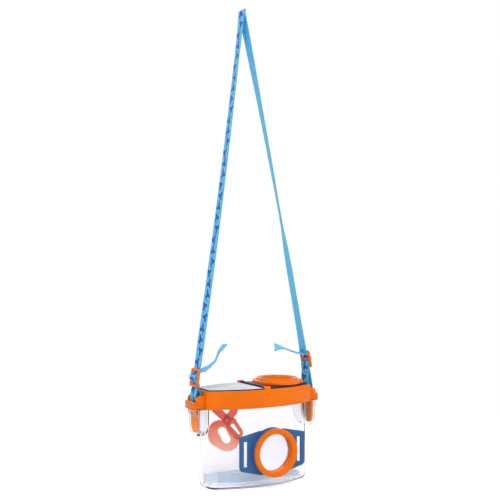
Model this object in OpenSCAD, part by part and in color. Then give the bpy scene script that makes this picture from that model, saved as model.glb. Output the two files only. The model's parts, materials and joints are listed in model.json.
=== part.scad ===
// Bug catcher jar: a clear container with an orange lid rim, a vented lid with a hinged
// magnifier flap, a second magnifier on the front wall, tongs, tweezers and a shoulder strap.
// Millimetres. X runs left to right, Y from front to back, Z up. The origin is the centre of
// the container's underside.

/* [Lid rim] */
// Length over the rim, left to right
rim_len = 140; // [134:1:150]
// Depth over the rim at its middle, front to back
rim_depth = 70; // [66:1:76]
// How far the front and the back bow out past the ends
rim_bulge = 18; // [16:1:20]
// Radius of the rim's upright corners
rim_corner_r = 4; // [3.5:0.1:5]
// Height of the rim band
rim_h = 20.7; // [19:0.1:23]
// Thickness of the rim band
rim_wall = 2.4; // [2:0.1:2.8]
// Height of the rim's top above the table
rim_top = 112.5; // [106:0.5:125]
// Thickness of the ledge inside the rim
ledge_t = 2; // [1.5:0.1:2.5]
// How far the ledge reaches in from the rim line
ledge_w = 8; // [7:0.1:9]
// Depth of the ledge below the rim's top
ledge_drop = 2.2; // [2:0.1:3]

/* [Container] */
// How far the container stands in from the rim line
jar_inset = 3.4; // [2.8:0.1:3.8]
// Thickness of the container's wall
jar_wall = 2.4; // [1.8:0.1:3]
// Thickness of the container's floor
jar_floor = 3; // [2:0.1:4]
// Radius of the container's upright corners, measured at the rim line
jar_corner_r = 19; // [17:0.5:22]
// Radius of the outer edge of the floor
foot_r = 5; // [3:0.1:6]
// Width of the guide ribs inside the rear wall
guide_w = 1.1; // [0.8:0.1:1.6]
// Depth of the guide ribs
guide_t = 1.8; // [1:0.1:2.5]
// Distance of the guide ribs' middle right of the container's middle
guide_x = 4.5; // [0:0.5:10]
// Distance between the guide ribs
guide_gap = 5.6; // [4:0.1:8]

/* [Latches] */
// Width of a latch tongue
tongue_w = 19; // [16:0.5:20]
// Thickness of a latch tongue
tongue_t = 2.5; // [2:0.1:3]
// Length of a latch tongue below the rim
tongue_len = 27.5; // [24:0.5:32]
// Distance of a tongue's middle outside the rim's end
tongue_out = 6; // [5.5:0.1:6.5]
// Gap between a tongue and the frame round it
tongue_gap = 1.2; // [0.8:0.1:1.8]
// Thickness of the frame's rounded edge
frame_wall = 3; // [2:0.1:4]
// Height of the bridge that holds a tongue in
bridge_h = 7; // [5:0.1:9]
// Thickness of that bridge
bridge_t = 2; // [1.5:0.1:2.6]

/* [Strap lugs] */
// Width of a lug, front to back
lug_w = 25; // [23:0.5:27]
// Thickness of a lug's cheeks
cheek_t = 2.9; // [2:0.1:3.2]
// How far a lug's cheeks stand out from the rim
cheek_out = 10.5; // [10:0.1:12]
// Thickness of a lug's outer wall
lug_wall = 3; // [2:0.1:4]
// Height of a lug's outer wall
lug_wall_h = 8.7; // [6:0.1:9]
// Height of a lug's cheeks
cheek_h = 15.5; // [14:0.1:18]
// Thickness of a lug's floor
lug_floor = 1.8; // [1.4:0.1:2]
// Radius of the strap pins
strap_pin_r = 1.6; // [1.4:0.1:1.8]
// Distance of a strap pin outside the rim's end
strap_pin_out = 5.4; // [5.2:0.1:5.8]
// Height of a strap pin above the rim's lower edge
strap_pin_up = 6.4; // [6:0.1:7.5]

/* [Lid] */
// Thickness of the tray
tray_t = 2; // [1.6:0.1:2.2]
// Height of the tray's lip
tray_lip_h = 3.3; // [2.8:0.1:3.6]
// Thickness of the tray's lip
tray_lip_t = 1.6; // [1.2:0.1:1.8]
// Clearance between the tray and the rim band
tray_gap = 0.8; // [0.7:0.1:1]
// Depth of the plug wall below the tray
plug_h = 6; // [4:0.1:8]
// Thickness of the plug wall
plug_t = 1.9; // [1.4:0.1:2.2]
// Half the width of the divider between the two openings
divider_half = 4.5; // [4:0.1:6]
// Pitch of the vent net
net_pitch = 6; // [5:0.1:8]
// Width of the net's threads
net_bar = 1; // [0.8:0.1:1.4]
// Thickness of the net
net_t = 1.3; // [1:0.1:1.6]
// Width of the net's edge
net_edge = 1.6; // [1.2:0.1:2.4]
// Thickness of the flap
flap_t = 1.8; // [1.4:0.1:2.2]
// Radius of the hinge barrel
barrel_r = 1.7; // [1.5:0.05:2]
// Radius of the hinge rod
rod_r = 0.9; // [0.7:0.05:1]
// Half the length of the flap's part of the barrel
barrel_half = 22; // [18:0.5:25]
// Length of a pivot block along the rim
pivot_len = 8; // [7:0.5:10]
// Depth of a pivot block
pivot_depth = 4.3; // [3.6:0.1:4.6]
// Height of the pivot blocks above the rim's top
pivot_h = 3.6; // [3:0.1:4.2]

/* [Lid magnifier] */
// How far the lid magnifier's middle lies left of the flap's middle
lid_loupe_in = 1.4; // [1.2:0.1:1.8]
// Distance from the hinge's middle to its flange
lid_hinge_gap = 2.9; // [2.6:0.1:4]
// How far its flange stands in from the rim's front
lid_flange_in = 1.8; // [1.5:0.1:3]
// Thickness of its flange
lid_flange_t = 4; // [3:0.1:5]
// Width of its flange outside the raised rim
lid_flange_w = 4.6; // [3:0.1:5]
// Height of the raised rim
lid_top_h = 2.3; // [1.5:0.1:3]
// Width of its raised rim outside the barrel
lid_top_w = 2.5; // [2:0.1:4]
// Thickness of its barrel round the lens
lid_barrel_t = 1.6; // [1.2:0.1:2.2]
// How far the ring holds the lens's edge
lid_hold = 2; // [1.5:0.1:3]

/* [Front magnifier] */
// Distance of the front magnifier's middle right of the container's middle
front_x = 5.5; // [4:0.5:7]
// Height of the front magnifier's middle
front_z = 41; // [38:0.5:50]
// Radius of its flange
front_flange_r = 28.6; // [28:0.1:30]
// Thickness of its flange
front_flange_t = 4; // [3:0.1:5]
// Radius of its barrel
front_barrel_r = 25; // [24.6:0.1:25.4]
// Radius of its lens
front_lens_r = 23.4; // [22.8:0.1:23.8]
// Radius of the clear view through it
front_view_r = 20.9; // [20:0.1:22]
// Thickness of both magnifiers' lenses at the middle
lens_t = 4.4; // [3.4:0.1:5]
// Thickness of both magnifiers' lenses at the edge
lens_edge_t = 1.6; // [1.2:0.1:2]
// Radius of the spigot on the container's front wall
spigot_r = 24; // [23:0.1:24.4]
// Thickness of the spigot's wall
spigot_wall = 1.8; // [1.4:0.1:2.4]
// Length of the spigot in front of the container's wall
spigot_len = 2.2; // [1.6:0.1:3]
// Radius of the collar on the holder
collar_r = 27.6; // [27:0.1:28.5]
// Distance of the holder's plate in front of the rim line
plate_out = 1.5; // [1:0.1:2.5]
// Distance of the collar's front edge in front of the rim line
collar_out = 6.5; // [5.5:0.1:7.5]
// Thickness of the plate
plate_t = 2.6; // [2:0.1:3.4]
// Half the length of the plate
plate_half = 43.5; // [40:0.5:46]
// Height of the plate at its middle
plate_h = 50; // [46:0.5:54]
// Height of the plate at its ends
plate_end_h = 39; // [36:0.5:44]
// How far the ends of the plate turn back
plate_turn = 2.4; // [1.6:0.1:4]
// Radius of the plate's lower corners
plate_corner_r = 6; // [3:0.5:8]
// Width of the band slots
band_slot_w = 5.2; // [4.4:0.1:6]
// Height of the band slots
band_slot_h = 29; // [24:0.5:31]
// Distance of the band slots' middle inside the plate's ends
band_slot_in = 8.2; // [8:0.1:9]

/* [Strap] */
// Width of the webbing
strap_w = 15; // [12:0.5:16]
// Thickness of the webbing
strap_t = 1; // [0.8:0.1:1.2]
// Height of the top fold above the table
strap_top = 561; // [400:1:700]
// How far the top fold lies left of the middle
strap_top_left = 15.5; // [0:0.5:30]
// Height of the left buckle's middle
buckle_left_z = 127; // [125:0.5:135]
// Height of the right buckle's middle
buckle_right_z = 142; // [135:0.5:150]
// Distance of the left buckle outside the rim's end
buckle_left_out = 6.6; // [5:0.1:8]
// Distance of the right buckle outside the rim's end
buckle_right_out = 3.6; // [2:0.1:6]
// Width of a buckle
buckle_w = 22; // [21.5:0.1:23]
// Height of a buckle
buckle_h = 21; // [20.5:0.1:22]
// Thickness of a buckle
buckle_t = 2; // [1.8:0.1:2.2]
// Width of a buckle's outer bars
buckle_bar = 3.1; // [2.6:0.1:3.2]
// Height of a buckle's middle bar
buckle_mid = 2.6; // [2.2:0.1:3]

/* [Tongs] */
// Distance of the tongs' pivot from the container's left wall
tongs_in = 28.6; // [27.2:0.1:30]
// Distance of the tongs' pivot in front of the middle
tongs_front = 0.6; // [0:0.1:3]
// Height of the tongs' pivot
tongs_z = 73.6; // [72:0.1:76]
// How far the tongs are turned from the container's front
tongs_turn = 28.7; // [25:0.1:32]
// Thickness of each half of the tongs
tongs_t = 3.4; // [2.6:0.1:3.6]
// Gap between the two halves
tongs_gap = 0.4; // [0.3:0.05:0.6]
// Radius of the pivot pin
tongs_pin_r = 2; // [1.6:0.1:2.4]
// Outer radius of the front finger loop
loop_front_r = 14.8; // [13.5:0.1:15.5]
// Outer radius of the rear finger loop
loop_rear_r = 6.6; // [6:0.1:7.2]
// Radius of the front loop's hole
hole_front_r = 5.1; // [4.6:0.1:6]
// Radius of the rear loop's hole
hole_rear_r = 2.4; // [2:0.1:3]
// Outer radius of the scoops
scoop_r = 9; // [8:0.1:9.5]
// Thickness of the scoops' walls
scoop_wall = 1.4; // [1.2:0.1:1.8]

/* [Tweezers] */
// Height of the tweezers, lying on edge
tweezer_h = 11; // [9:0.5:12]
// Height of the tips
tweezer_tip_h = 5; // [4:0.5:7]
// Thickness of an arm
tweezer_arm_t = 1.8; // [1.4:0.1:2.4]
// Length of the joined end
tweezer_root_len = 12; // [10:0.5:15]
// Width of the joined end
tweezer_root_w = 7; // [6:0.1:8]
// How far an arm's middle bows out from the middle line
tweezer_bow = 7; // [5:0.1:9]
// Half the gap between the tips
tweezer_tip_gap = 3.6; // [3:0.1:5]
// Distance of the joined end's round from the container's left wall
tweezer_left_gap = 8; // [7.2:0.1:12]
// Distance of the tips from the container's right wall
tweezer_right_gap = 12; // [11:0.1:20]
// Distance of the joined end's round from the container's rear wall
tweezer_back_gap = 9.8; // [8:0.1:12]

/* [Hidden] */
$fn = 96;

// Clearances that pieces share
seat_gap = 0.3;
run_gap = 0.05;
over = 1;

// Plan of the rim: two bows and two flat ends
rim_half = rim_len / 2;
bow_r = (rim_half * rim_half + rim_bulge * rim_bulge) / (2 * rim_bulge);
bow_y = bow_r - rim_depth / 2;
function corner_x(cr) = rim_half - cr;
function corner_y(cr) = sqrt((bow_r - cr) ^ 2 - corner_x(cr) ^ 2) - bow_y;
function bow_angle(cr) = atan2(corner_x(cr), corner_y(cr) + bow_y);

// Heights in the lid
rim_low = rim_top - rim_h;
ledge_top = rim_top - ledge_drop;
ledge_low = ledge_top - ledge_t;
jar_h = ledge_low - seat_gap;
tray_low = ledge_top;
tray_top = tray_low + tray_t;
tray_edge = -rim_wall - tray_gap;
opening_edge = -ledge_w - seat_gap - plug_t;
flap_low = tray_top + seat_gap;
flap_top = flap_low + flap_t;
axis_z = flap_low + barrel_r;
flap_edge = tray_edge - tray_lip_t - seat_gap;
flap_start = barrel_r + over;

// Steps that round the container's lower edge
foot_steps = 4;

// Latches and lugs
tongue_x = rim_half + tongue_out;
frame_r = tongue_w / 2 + tongue_gap + frame_wall;
frame_low = rim_low - tongue_len - tongue_gap - frame_wall;
frame_top = rim_low - seat_gap * 2;
frame_start = rim_half - jar_inset - jar_wall - over;
bridge_x = tongue_x + tongue_t / 2 + seat_gap;
frame_end = bridge_x + bridge_t / 4;
tongue_top = rim_low - seat_gap;
lug_out = cheek_out + lug_wall;
pin_x = rim_half + strap_pin_out;
pin_z = rim_low + strap_pin_up;
cheek_in = lug_w / 2 - cheek_t;

// Inside of the container's wall, at a distance from the middle
jar_in_x = rim_half - jar_inset - jar_wall;
jar_in_r = jar_corner_r - jar_inset - jar_wall;
function jar_in_y(x) = x > corner_x(jar_corner_r)
    ? corner_y(jar_corner_r) + sqrt(jar_in_r ^ 2 - (x - corner_x(jar_corner_r)) ^ 2)
    : sqrt((bow_r - jar_inset - jar_wall) ^ 2 - x ^ 2) - bow_y;

// Tweezers: the joined end near the left wall, the tips near the front right
tweezer_left = jar_in_x - tweezer_left_gap;
tweezer_back = jar_in_y(tweezer_left) - tweezer_back_gap;
tweezer_tip_x = jar_in_x - tweezer_right_gap;
tweezer_tip_front = jar_in_y(tweezer_tip_x) - tweezer_tip_gap - tweezer_arm_t / 2 - seat_gap;
tweezer_turn = -atan2(tweezer_back + tweezer_tip_front, tweezer_left + tweezer_tip_x);
tweezer_reach = norm([tweezer_left + tweezer_tip_x, tweezer_back + tweezer_tip_front]);

// Magnifiers
flange_gap = seat_gap;
lid_flange_low = flap_top + flange_gap;
lid_loupe_x = (flap_start + rim_half + flap_edge) / 2 - lid_loupe_in;
lid_flange_r = min(lid_loupe_x - lid_hinge_gap, sqrt(bow_r ^ 2 - lid_loupe_x ^ 2) - bow_y - lid_flange_in);
lid_top_r = lid_flange_r - lid_flange_w;
lid_barrel_r = lid_top_r - lid_top_w;
lid_lens_r = lid_barrel_r - lid_barrel_t;
lid_view_r = lid_lens_r - lid_hold;
collar_in_r = front_barrel_r + seat_gap;
front_y = -rim_depth / 2;
spigot_back_y = front_y + ledge_w;
spigot_front_y = front_y + jar_inset - spigot_len;
collar_back_y = front_y + jar_inset - over;
collar_front_y = front_y - collar_out;
front_flange_y = collar_front_y - flange_gap;
plate_taper_share = 0.6;
retainer_t = 1.5;
lens_stack = retainer_t + lens_edge_t + 2 * run_gap;
lid_barrel_h = flap_t + flange_gap;
lid_seat = lens_stack - lid_barrel_h;
front_barrel_h = spigot_front_y - seat_gap - front_flange_y;
front_seat = lens_stack - front_barrel_h;
view_flare = 1.2;
flange_round = 1;
thumb_angle = -38;
thumb_w = 9;
thumb_out = 2;

// Tweezers
tweezer_root_y = (tweezer_root_w - tweezer_arm_t) / 2;
arm_steps = 14;
grip_ribs = 6;
rib_pitch_share = 0.04;
rib_low_share = 0.1;

// Strap: how each leg turns from bottom to top, as shares of its height against degrees
left_turn_shares = [[0, 0], [0.08, -4], [0.5, 3], [0.9, 8], [0.98, 0], [1, 0]];
right_turn_shares = [[0, 0], [0.03, 0], [0.08, 5], [0.3, 8], [0.4, 26], [0.55, 20], [0.72, 15], [0.9, 3], [0.98, 0], [1, 0]];
leg_steps = 16;
leg_bow = 2;
fold_h = 5;
layer_step = 1.5 * strap_t;
weave_out = buckle_t / 2 + seat_gap / 2 + strap_t / 2;
slot_far = buckle_h / 2 - buckle_bar;
// Out or in, and the height from the buckle's middle
weave = [[1, 0], [1, buckle_mid / 2 + strap_t / 3], [-1, slot_far - strap_t / 3], [-1, buckle_h / 2 + strap_t]];
loop_r = strap_pin_r + seat_gap + strap_t / 2;
loop_spread = loop_r + 0.9 * strap_t;
buckle_left_x = rim_half + buckle_left_out;
buckle_right_x = rim_half + buckle_right_out;
left_tail = [[2.4, 0, 134.6], [12, 0, 139.5], [19.5, 0, 145.5], [24, 0, 154.5], [32, 0, 163.5]];
left_tail_dirs = [[0, 1, 0.05], [0.3, 0.95, 0], [0.42, 0.9, 0], [0.38, 0.92, 0.08], [0.3, 0.93, 0.15]];
right_tail = [[4.5, 0, 148], [8, 0.8, 148.6], [9, 6.5, 149.8], [8, 14, 151.4], [9.5, 21.5, 153],
    [13, 29, 155], [17.5, 35.5, 156.5], [21, 39, 157]];
// The tails' points are measured in from the rim's end
function from_end(side, tail) = [for (p = tail) [side * (rim_half - p.x), p.y, p.z]];
right_tail_dirs = [[0, 1, 0.1], [0, 1, 0.05], [0.7, 0.7, 0], [0.97, 0.2, 0], [0.95, 0.3, 0], [0.88, 0.47, 0.08],
    [0.72, 0.55, 0.4], [0.55, 0.5, 0.67]];
function lean(side) = atan((buckle_x(side) + side * strap_top_left) / (strap_top - buckle_z(side)));
function buckle_x(side) = side < 0 ? buckle_left_x : buckle_right_x;
function buckle_z(side) = side < 0 ? buckle_left_z : buckle_right_z;
function buckle_yaw(side) = 0;

// The clip under the net that holds the tongs
clip_w = 8;
clip_wall = 1.6;

// Tongs, in their own plane, measured across and up from the pivot
tongs_left = jar_in_x - tongs_in;
front_loop = [[-8.6, -15.1], [0.1, -19.8]];
front_hole = [[-5.5, -12.3], [-0.7, -21.3]];
front_flat_at = [8.4, -10.7];
rear_loop = [[5.2, -4.6], [12.2, -15]];
rear_hole = [[6.6, -6.8], [12.4, -15.4]];
front_neck = [8, 10.4];
rear_neck = [-14.5, 12];
neck_w = 8.6;
front_bend = [13, 18.4];
spine_x = 21.5;
spine_low = 25;
spine_top = 31;
scoop_reach = 25;
front_scoop_angle = 72;
rear_scoop_angle = 124;
bar_waist_share = 0.97;
ball_step = 15;
tongs_head_r = 4.2;
tongs_head_t = 1;
clip_low = tongs_z + spine_top - neck_w;
rib_w = 8;
rib_x = -tongs_left + spine_x * cos(tongs_turn) - tongs_t / 2;

module plan_area(off, cr) {
    r = cr + off;
    touch_x = corner_x(cr) + r * sin(bow_angle(cr));
    intersection() {
        translate([0, -bow_y]) circle(bow_r + off, $fn = 360);
        translate([0, bow_y]) circle(bow_r + off, $fn = 360);
        square([2 * touch_x, rim_depth + 2 * off + over], center = true);
    }
    square([rim_len + 2 * off, 2 * corner_y(cr)], center = true);
    for (sx = [-1, 1], sy = [-1, 1])
        translate([sx * corner_x(cr), sy * corner_y(cr)]) circle(r);
}

// A plate or wall with the rim's plan, from one height to another
module plan_plate(off, low, high) {
    translate([0, 0, low]) linear_extrude(high - low) plan_area(off, rim_corner_r - off);
}

module plan_wall(off, wall, low, high) {
    difference() {
        plan_plate(off, low, high);
        plan_plate(off - wall, low - over, high + over);
    }
}

// A block by its lowest and highest corner
module block(low, high) {
    translate(low) cube(high - low);
}

// Turns a drawing so that it stands upright and grows towards the front
module facing_front() {
    rotate([90, 0, 0]) children();
}

// Both ends of the object, the children drawn for the right one
module both_ends() {
    children();
    mirror([1, 0, 0]) children();
}

// The container's outer form, solid, with its lower edge rounded in steps
module jar_form() {
    for (i = [0 : foot_steps]) let (a = 90 * i / foot_steps)
        translate([0, 0, foot_r * (1 - cos(a))])
            linear_extrude(i < foot_steps ? foot_r * cos(a) : jar_h - foot_r)
                plan_area(-jar_inset - foot_r * (1 - sin(a)), jar_corner_r);
}

module rounded_drop(r, low, high) {
    translate([0, low + r]) circle(r);
    translate([-r, low + r]) square([2 * r, high - low - r]);
}

// Stands a drawing of depth against height on the plane x = start and grows it to x = end
module along_x(start, end) {
    translate([start, 0, 0]) rotate([90, 0, 90]) linear_extrude(end - start) children();
}

module latch_frame() {
    along_x(frame_start, frame_end) difference() {
        rounded_drop(frame_r, frame_low, frame_top);
        rounded_drop(frame_r - frame_wall, frame_low + frame_wall, frame_top + over);
    }
    block([bridge_x, -frame_r, frame_top - bridge_h], [bridge_x + bridge_t, frame_r, frame_top]);
}

module spigot() {
    length = spigot_back_y - spigot_front_y;
    translate([front_x, spigot_back_y, front_z]) facing_front() difference() {
        cylinder(h = length, r = spigot_r);
        translate([0, 0, -over]) cylinder(h = length + 2 * over, r = spigot_r - spigot_wall);
    }
}

module guide_ribs() {
    rear_y = rim_depth / 2 - jar_inset - jar_wall / 2;
    for (side = [-1, 1])
        translate([guide_x + side * guide_gap / 2 - guide_w / 2, rear_y - jar_wall / 2 - guide_t, foot_r])
            cube([guide_w, jar_wall / 2 + guide_t, jar_h - 2 * foot_r - plug_h]);
}

module jar() {
    color([0.93, 0.95, 0.97, 0.35]) {
        difference() {
            union() {
                jar_form();
                both_ends() latch_frame();
                spigot();
            }
            translate([0, 0, jar_floor]) linear_extrude(jar_h)
                plan_area(-jar_inset - jar_wall, jar_corner_r);
        }
        guide_ribs();
    }
}

module lug() {
    low = rim_low;
    inner = rim_half - rim_wall / 2;
    difference() {
        union() {
            block([inner, -lug_w / 2, low], [rim_half + lug_out, lug_w / 2, low + lug_floor]);
            block([rim_half + cheek_out, -lug_w / 2, low],
                [rim_half + lug_out, lug_w / 2, low + lug_wall_h]);
            for (side = [-1, 1])
                translate([0, side * (lug_w - cheek_t) / 2 + cheek_t / 2, 0]) facing_front()
                    linear_extrude(cheek_t) {
                        translate([inner, low]) square([rim_half + cheek_out - inner,
                            cheek_h - cheek_out / 2]);
                        translate([inner, low]) square([rim_half + cheek_out / 2 - inner, cheek_h]);
                        translate([rim_half + cheek_out / 2, low + cheek_h - cheek_out / 2])
                            circle(cheek_out / 2);
                    }
        }
        translate([pin_x, lug_w / 2 + over, pin_z]) facing_front()
            cylinder(h = lug_w + 2 * over, r = strap_pin_r + run_gap);
    }
}

module pivot_block() {
    top = rim_top + pivot_h;
    edge = rim_depth / 2;
    difference() {
        block([-pivot_len / 2, edge - pivot_depth, tray_low], [pivot_len / 2, edge - over / 4, top]);
        translate([0, edge - rim_wall + seat_gap, axis_z]) facing_front()
            cylinder(h = pivot_depth + over, r = rod_r + run_gap);
    }
}

module rim_band() {
    color("darkorange") {
        difference() {
            linear_extrude(rim_top) plan_area(0, rim_corner_r);
            plan_plate(-rim_wall, -over, rim_top + over);
            translate([0, 0, -over]) linear_extrude(rim_low + over) square(2 * rim_len, center = true);
        }
        plan_wall(-rim_wall / 2, ledge_w - rim_wall / 2, ledge_low, ledge_top);
        both_ends() lug();
        pivot_block();
        mirror([0, 1, 0]) pivot_block();
    }
}

module latch(side) {
    length = tongue_len - seat_gap;
    mirror([side < 0 ? 1 : 0, 0, 0])
        along_x(tongue_x - tongue_t / 2, tongue_x + tongue_t / 2)
            rounded_drop(tongue_w / 2, tongue_top - length, tongue_top);
}

module latch_left() { color("darkorange") latch(-1); }
module latch_right() { color("darkorange") latch(1); }

module strap_pin(side) {
    translate([side * pin_x, lug_w / 2, pin_z]) facing_front() cylinder(h = lug_w, r = strap_pin_r);
}

module strap_pin_left() { color("silver") strap_pin(-1); }
module strap_pin_right() { color("silver") strap_pin(1); }

// One side of the lid inside its edge: -1 for the vent, 1 for the flap
module lid_opening(side, off, start, low, high) {
    intersection() {
        plan_plate(off, low, high);
        translate([side < 0 ? -rim_len - start : start, -rim_len / 2, low - over])
            cube([rim_len, rim_len, high - low + 2 * over]);
    }
}

// The rib under the net, with the clip that holds the front half of the tongs by its spine
module tongs_rib() {
    low = tray_low - tray_t;
    grip = tongs_t + 2 * run_gap;
    translate([-tongs_left, -tongs_front, 0]) rotate(-tongs_turn)
        translate([spine_x, -tongs_gap / 2 - tongs_t / 2, 0]) {
            for (side = [-1, 1])
                translate([-clip_w / 2, side * (grip + clip_wall) / 2 - clip_wall / 2, clip_low])
                    cube([clip_w, clip_wall, tray_top - clip_low]);
            block([-clip_w / 2, -grip / 2 - clip_wall, low], [clip_w / 2, grip / 2 + clip_wall, tray_top]);
        }
    intersection() {
        block([rib_x - rib_w / 2, -rim_depth / 2, low], [rib_x + rib_w / 2, rim_depth / 2, tray_top]);
        plan_plate(opening_edge + plug_t / 2, low, tray_top);
    }
}

module tray_knuckles() {
    end = rim_depth / 2 - pivot_depth - seat_gap;
    for (turn = [0, 180]) rotate(turn) difference() {
        union() {
            translate([0, end, axis_z]) facing_front()
                cylinder(h = end - barrel_half - seat_gap, r = barrel_r);
            block([-barrel_r, barrel_half + seat_gap, tray_low], [barrel_r, end, axis_z]);
        }
        translate([0, end + over, axis_z]) facing_front()
            cylinder(h = end - barrel_half + 2 * over, r = rod_r + run_gap);
    }
}

module lid_tray() {
    notch_x = pivot_len / 2 + seat_gap;
    notch_y = rim_depth / 2 - pivot_depth - 2 * seat_gap;
    color([0.13, 0.2, 0.36]) {
        difference() {
            union() {
                plan_plate(tray_edge, tray_low, tray_top);
                plan_wall(tray_edge, tray_lip_t, tray_low, tray_low + tray_lip_h);
                plan_wall(-ledge_w - seat_gap, plug_t, tray_low - plug_h, tray_top);
            }
            for (side = [-1, 1])
                lid_opening(side, opening_edge, divider_half, tray_low - plug_h - over, tray_top + over);
            for (side = [-1, 1])
                translate([-notch_x, side > 0 ? notch_y : -notch_y - rim_depth, tray_low - over])
                    cube([2 * notch_x, rim_depth, tray_lip_h + 2 * over]);
        }
        tray_knuckles();
        tongs_rib();
    }
}

module vent_net() {
    low = tray_top + run_gap;
    high = low + net_t;
    count = ceil(rim_half / net_pitch);
    start = divider_half - over;
    color([0.88, 0.89, 0.9]) {
        difference() {
            lid_opening(-1, flap_edge, start, low, high);
            lid_opening(-1, flap_edge - net_edge, start + net_edge, low - over, high + over);
        }
        intersection() {
            lid_opening(-1, flap_edge - net_edge / 2, start + net_edge / 2, low, high);
            union() {
                for (i = [0 : count])
                    translate([-start - net_edge - i * net_pitch, -rim_half, low])
                        cube([net_bar, rim_len, net_t]);
                for (i = [-count : count])
                    translate([-rim_len, i * net_pitch - net_bar / 2, low])
                        cube([rim_len, net_bar, net_t]);
            }
        }
    }
}

module hinge_rod() {
    length = rim_depth - 2 * rim_wall;
    color("silver") translate([0, length / 2, axis_z]) facing_front() cylinder(h = length, r = rod_r);
}

module flap() {
    color([0.15, 0.25, 0.45]) difference() {
        union() {
            lid_opening(1, flap_edge, flap_start, flap_low, flap_top);
            block([0, -barrel_half, flap_low], [flap_start + over, barrel_half, flap_top]);
            translate([0, barrel_half, axis_z]) facing_front() cylinder(h = 2 * barrel_half, r = barrel_r);
        }
        translate([0, barrel_half + over, axis_z]) facing_front()
            cylinder(h = 2 * (barrel_half + over), r = rod_r + run_gap);
        translate([lid_loupe_x, 0, flap_low - over])
            cylinder(h = flap_t + 2 * over, r = lid_barrel_r + seat_gap);
    }
}

// A magnifier's ring, its flange's underside at z = 0 and its view along z
module loupe_ring(flange_r, flange_t, top_r, top_h, barrel_r, barrel_h, glass_r, view_r, seat) {
    seat_r = glass_r + seat_gap / 2;
    rotate_extrude() polygon([
        [view_r + view_flare, flange_t + top_h], [top_r, flange_t + top_h], [top_r, flange_t],
        [flange_r - flange_round, flange_t], [flange_r, flange_t - flange_round],
        [flange_r, 0], [barrel_r, 0], [barrel_r, -barrel_h], [seat_r, -barrel_h],
        [seat_r, seat], [view_r, seat], [view_r, flange_t / 2]]);
}

// A lens that bulges alike to both sides inside the view, with a flat rim below its seat in a ring
module lens(radius, view_r, seat) {
    bulge = (lens_t - lens_edge_t) / 2;
    bulge_r = view_r - seat_gap;
    ball_r = (bulge_r * bulge_r + bulge * bulge) / (2 * bulge);
    translate([0, 0, seat - run_gap - lens_edge_t / 2]) {
        cylinder(h = lens_edge_t, r = radius, center = true);
        intersection() {
            cylinder(h = lens_t + over, r = bulge_r, center = true);
            for (side = [-1, 1])
                translate([0, 0, side * (ball_r - lens_t / 2)]) sphere(ball_r);
        }
    }
}

// The ring that holds a lens against its seat
module lens_retainer(glass_r, view_r, seat) {
    translate([0, 0, seat - lens_edge_t - 2 * run_gap - retainer_t]) difference() {
        cylinder(h = retainer_t, r = glass_r + seat_gap / 2 - run_gap);
        translate([0, 0, -over]) cylinder(h = retainer_t + 2 * over, r = view_r);
    }
}

module thumb_block(flange_r, flange_t) {
    rotate(thumb_angle) translate([flange_r - over, -thumb_w / 2, 0])
        cube([thumb_out + over, thumb_w, flange_t]);
}

module on_lid() {
    translate([lid_loupe_x, 0, lid_flange_low]) children();
}

// The front magnifier's seat: z = 0 is the flange's rear face, and z grows to the front
module on_front() {
    translate([front_x, front_flange_y, front_z]) facing_front() children();
}

module lid_ring() {
    color("darkorange") on_lid() {
        loupe_ring(lid_flange_r, lid_flange_t, lid_top_r, lid_top_h,
            lid_barrel_r, lid_barrel_h, lid_lens_r, lid_view_r, lid_seat);
        thumb_block(lid_flange_r, lid_flange_t);
    }
}

module lid_lens() {
    color([0.9, 0.95, 1, 0.4]) on_lid() lens(lid_lens_r, lid_view_r, lid_seat);
}

module lid_lens_retainer() {
    color("darkorange") on_lid() lens_retainer(lid_lens_r, lid_view_r, lid_seat);
}

module front_ring() {
    color("darkorange") on_front()
        loupe_ring(front_flange_r, front_flange_t, front_flange_r - flange_round, 0,
            front_barrel_r, front_barrel_h, front_lens_r, front_view_r, front_seat);
}

module front_lens() {
    color([0.9, 0.95, 1, 0.4]) on_front() lens(front_lens_r, front_view_r, front_seat);
}

module front_lens_retainer() {
    color("darkorange") on_front() lens_retainer(front_lens_r, front_view_r, front_seat);
}

// The holder's face seen from the front, around its own middle
module plate_outline() {
    mid = collar_r * plate_taper_share;
    low = plate_end_h / 2;
    difference() {
        polygon([[-plate_half, -low + plate_corner_r], [-plate_half + plate_corner_r, -low],
            [-mid, -plate_h / 2], [mid, -plate_h / 2], [plate_half - plate_corner_r, -low],
            [plate_half, -low + plate_corner_r], [plate_half, low],
            [mid, plate_h / 2], [-mid, plate_h / 2], [-plate_half, low]]);
        for (side = [-1, 1])
            translate([side * (plate_half - band_slot_in), 0])
                square([band_slot_w, band_slot_h], center = true);
    }
}

module loupe_holder() {
    collar_len = collar_back_y - collar_front_y;
    plate_front_y = front_y - plate_out;
    color([0.2, 0.42, 0.66]) difference() {
        union() {
            translate([front_x, plate_front_y + plate_t, front_z]) facing_front()
                linear_extrude(plate_t) plate_outline();
            for (side = [-1, 1])
                translate([front_x + side * (plate_half - plate_t / 2) - plate_t / 2, plate_front_y,
                    front_z - plate_end_h / 2 + plate_corner_r])
                    cube([plate_t, plate_turn + plate_t, plate_end_h - plate_corner_r]);
            translate([front_x, collar_back_y, front_z]) facing_front()
                cylinder(h = collar_len, r = collar_r);
        }
        translate([front_x, collar_back_y + over, front_z]) facing_front()
            cylinder(h = collar_len + 2 * over, r = collar_in_r);
    }
}

// A flat bar with round ends, slightly waisted, from one point of a drawing to another
module bar(from, to, width) {
    run = to - from;
    waist = width * bar_waist_share;
    translate(from) circle(width / 2);
    translate(to) circle(width / 2);
    translate(from) rotate(atan2(run[1], run[0])) translate([0, -waist / 2]) square([norm(run), waist]);
}

module on_tongs() {
    translate([-tongs_left, -tongs_front, tongs_z]) rotate(-tongs_turn) facing_front() children();
}

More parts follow.
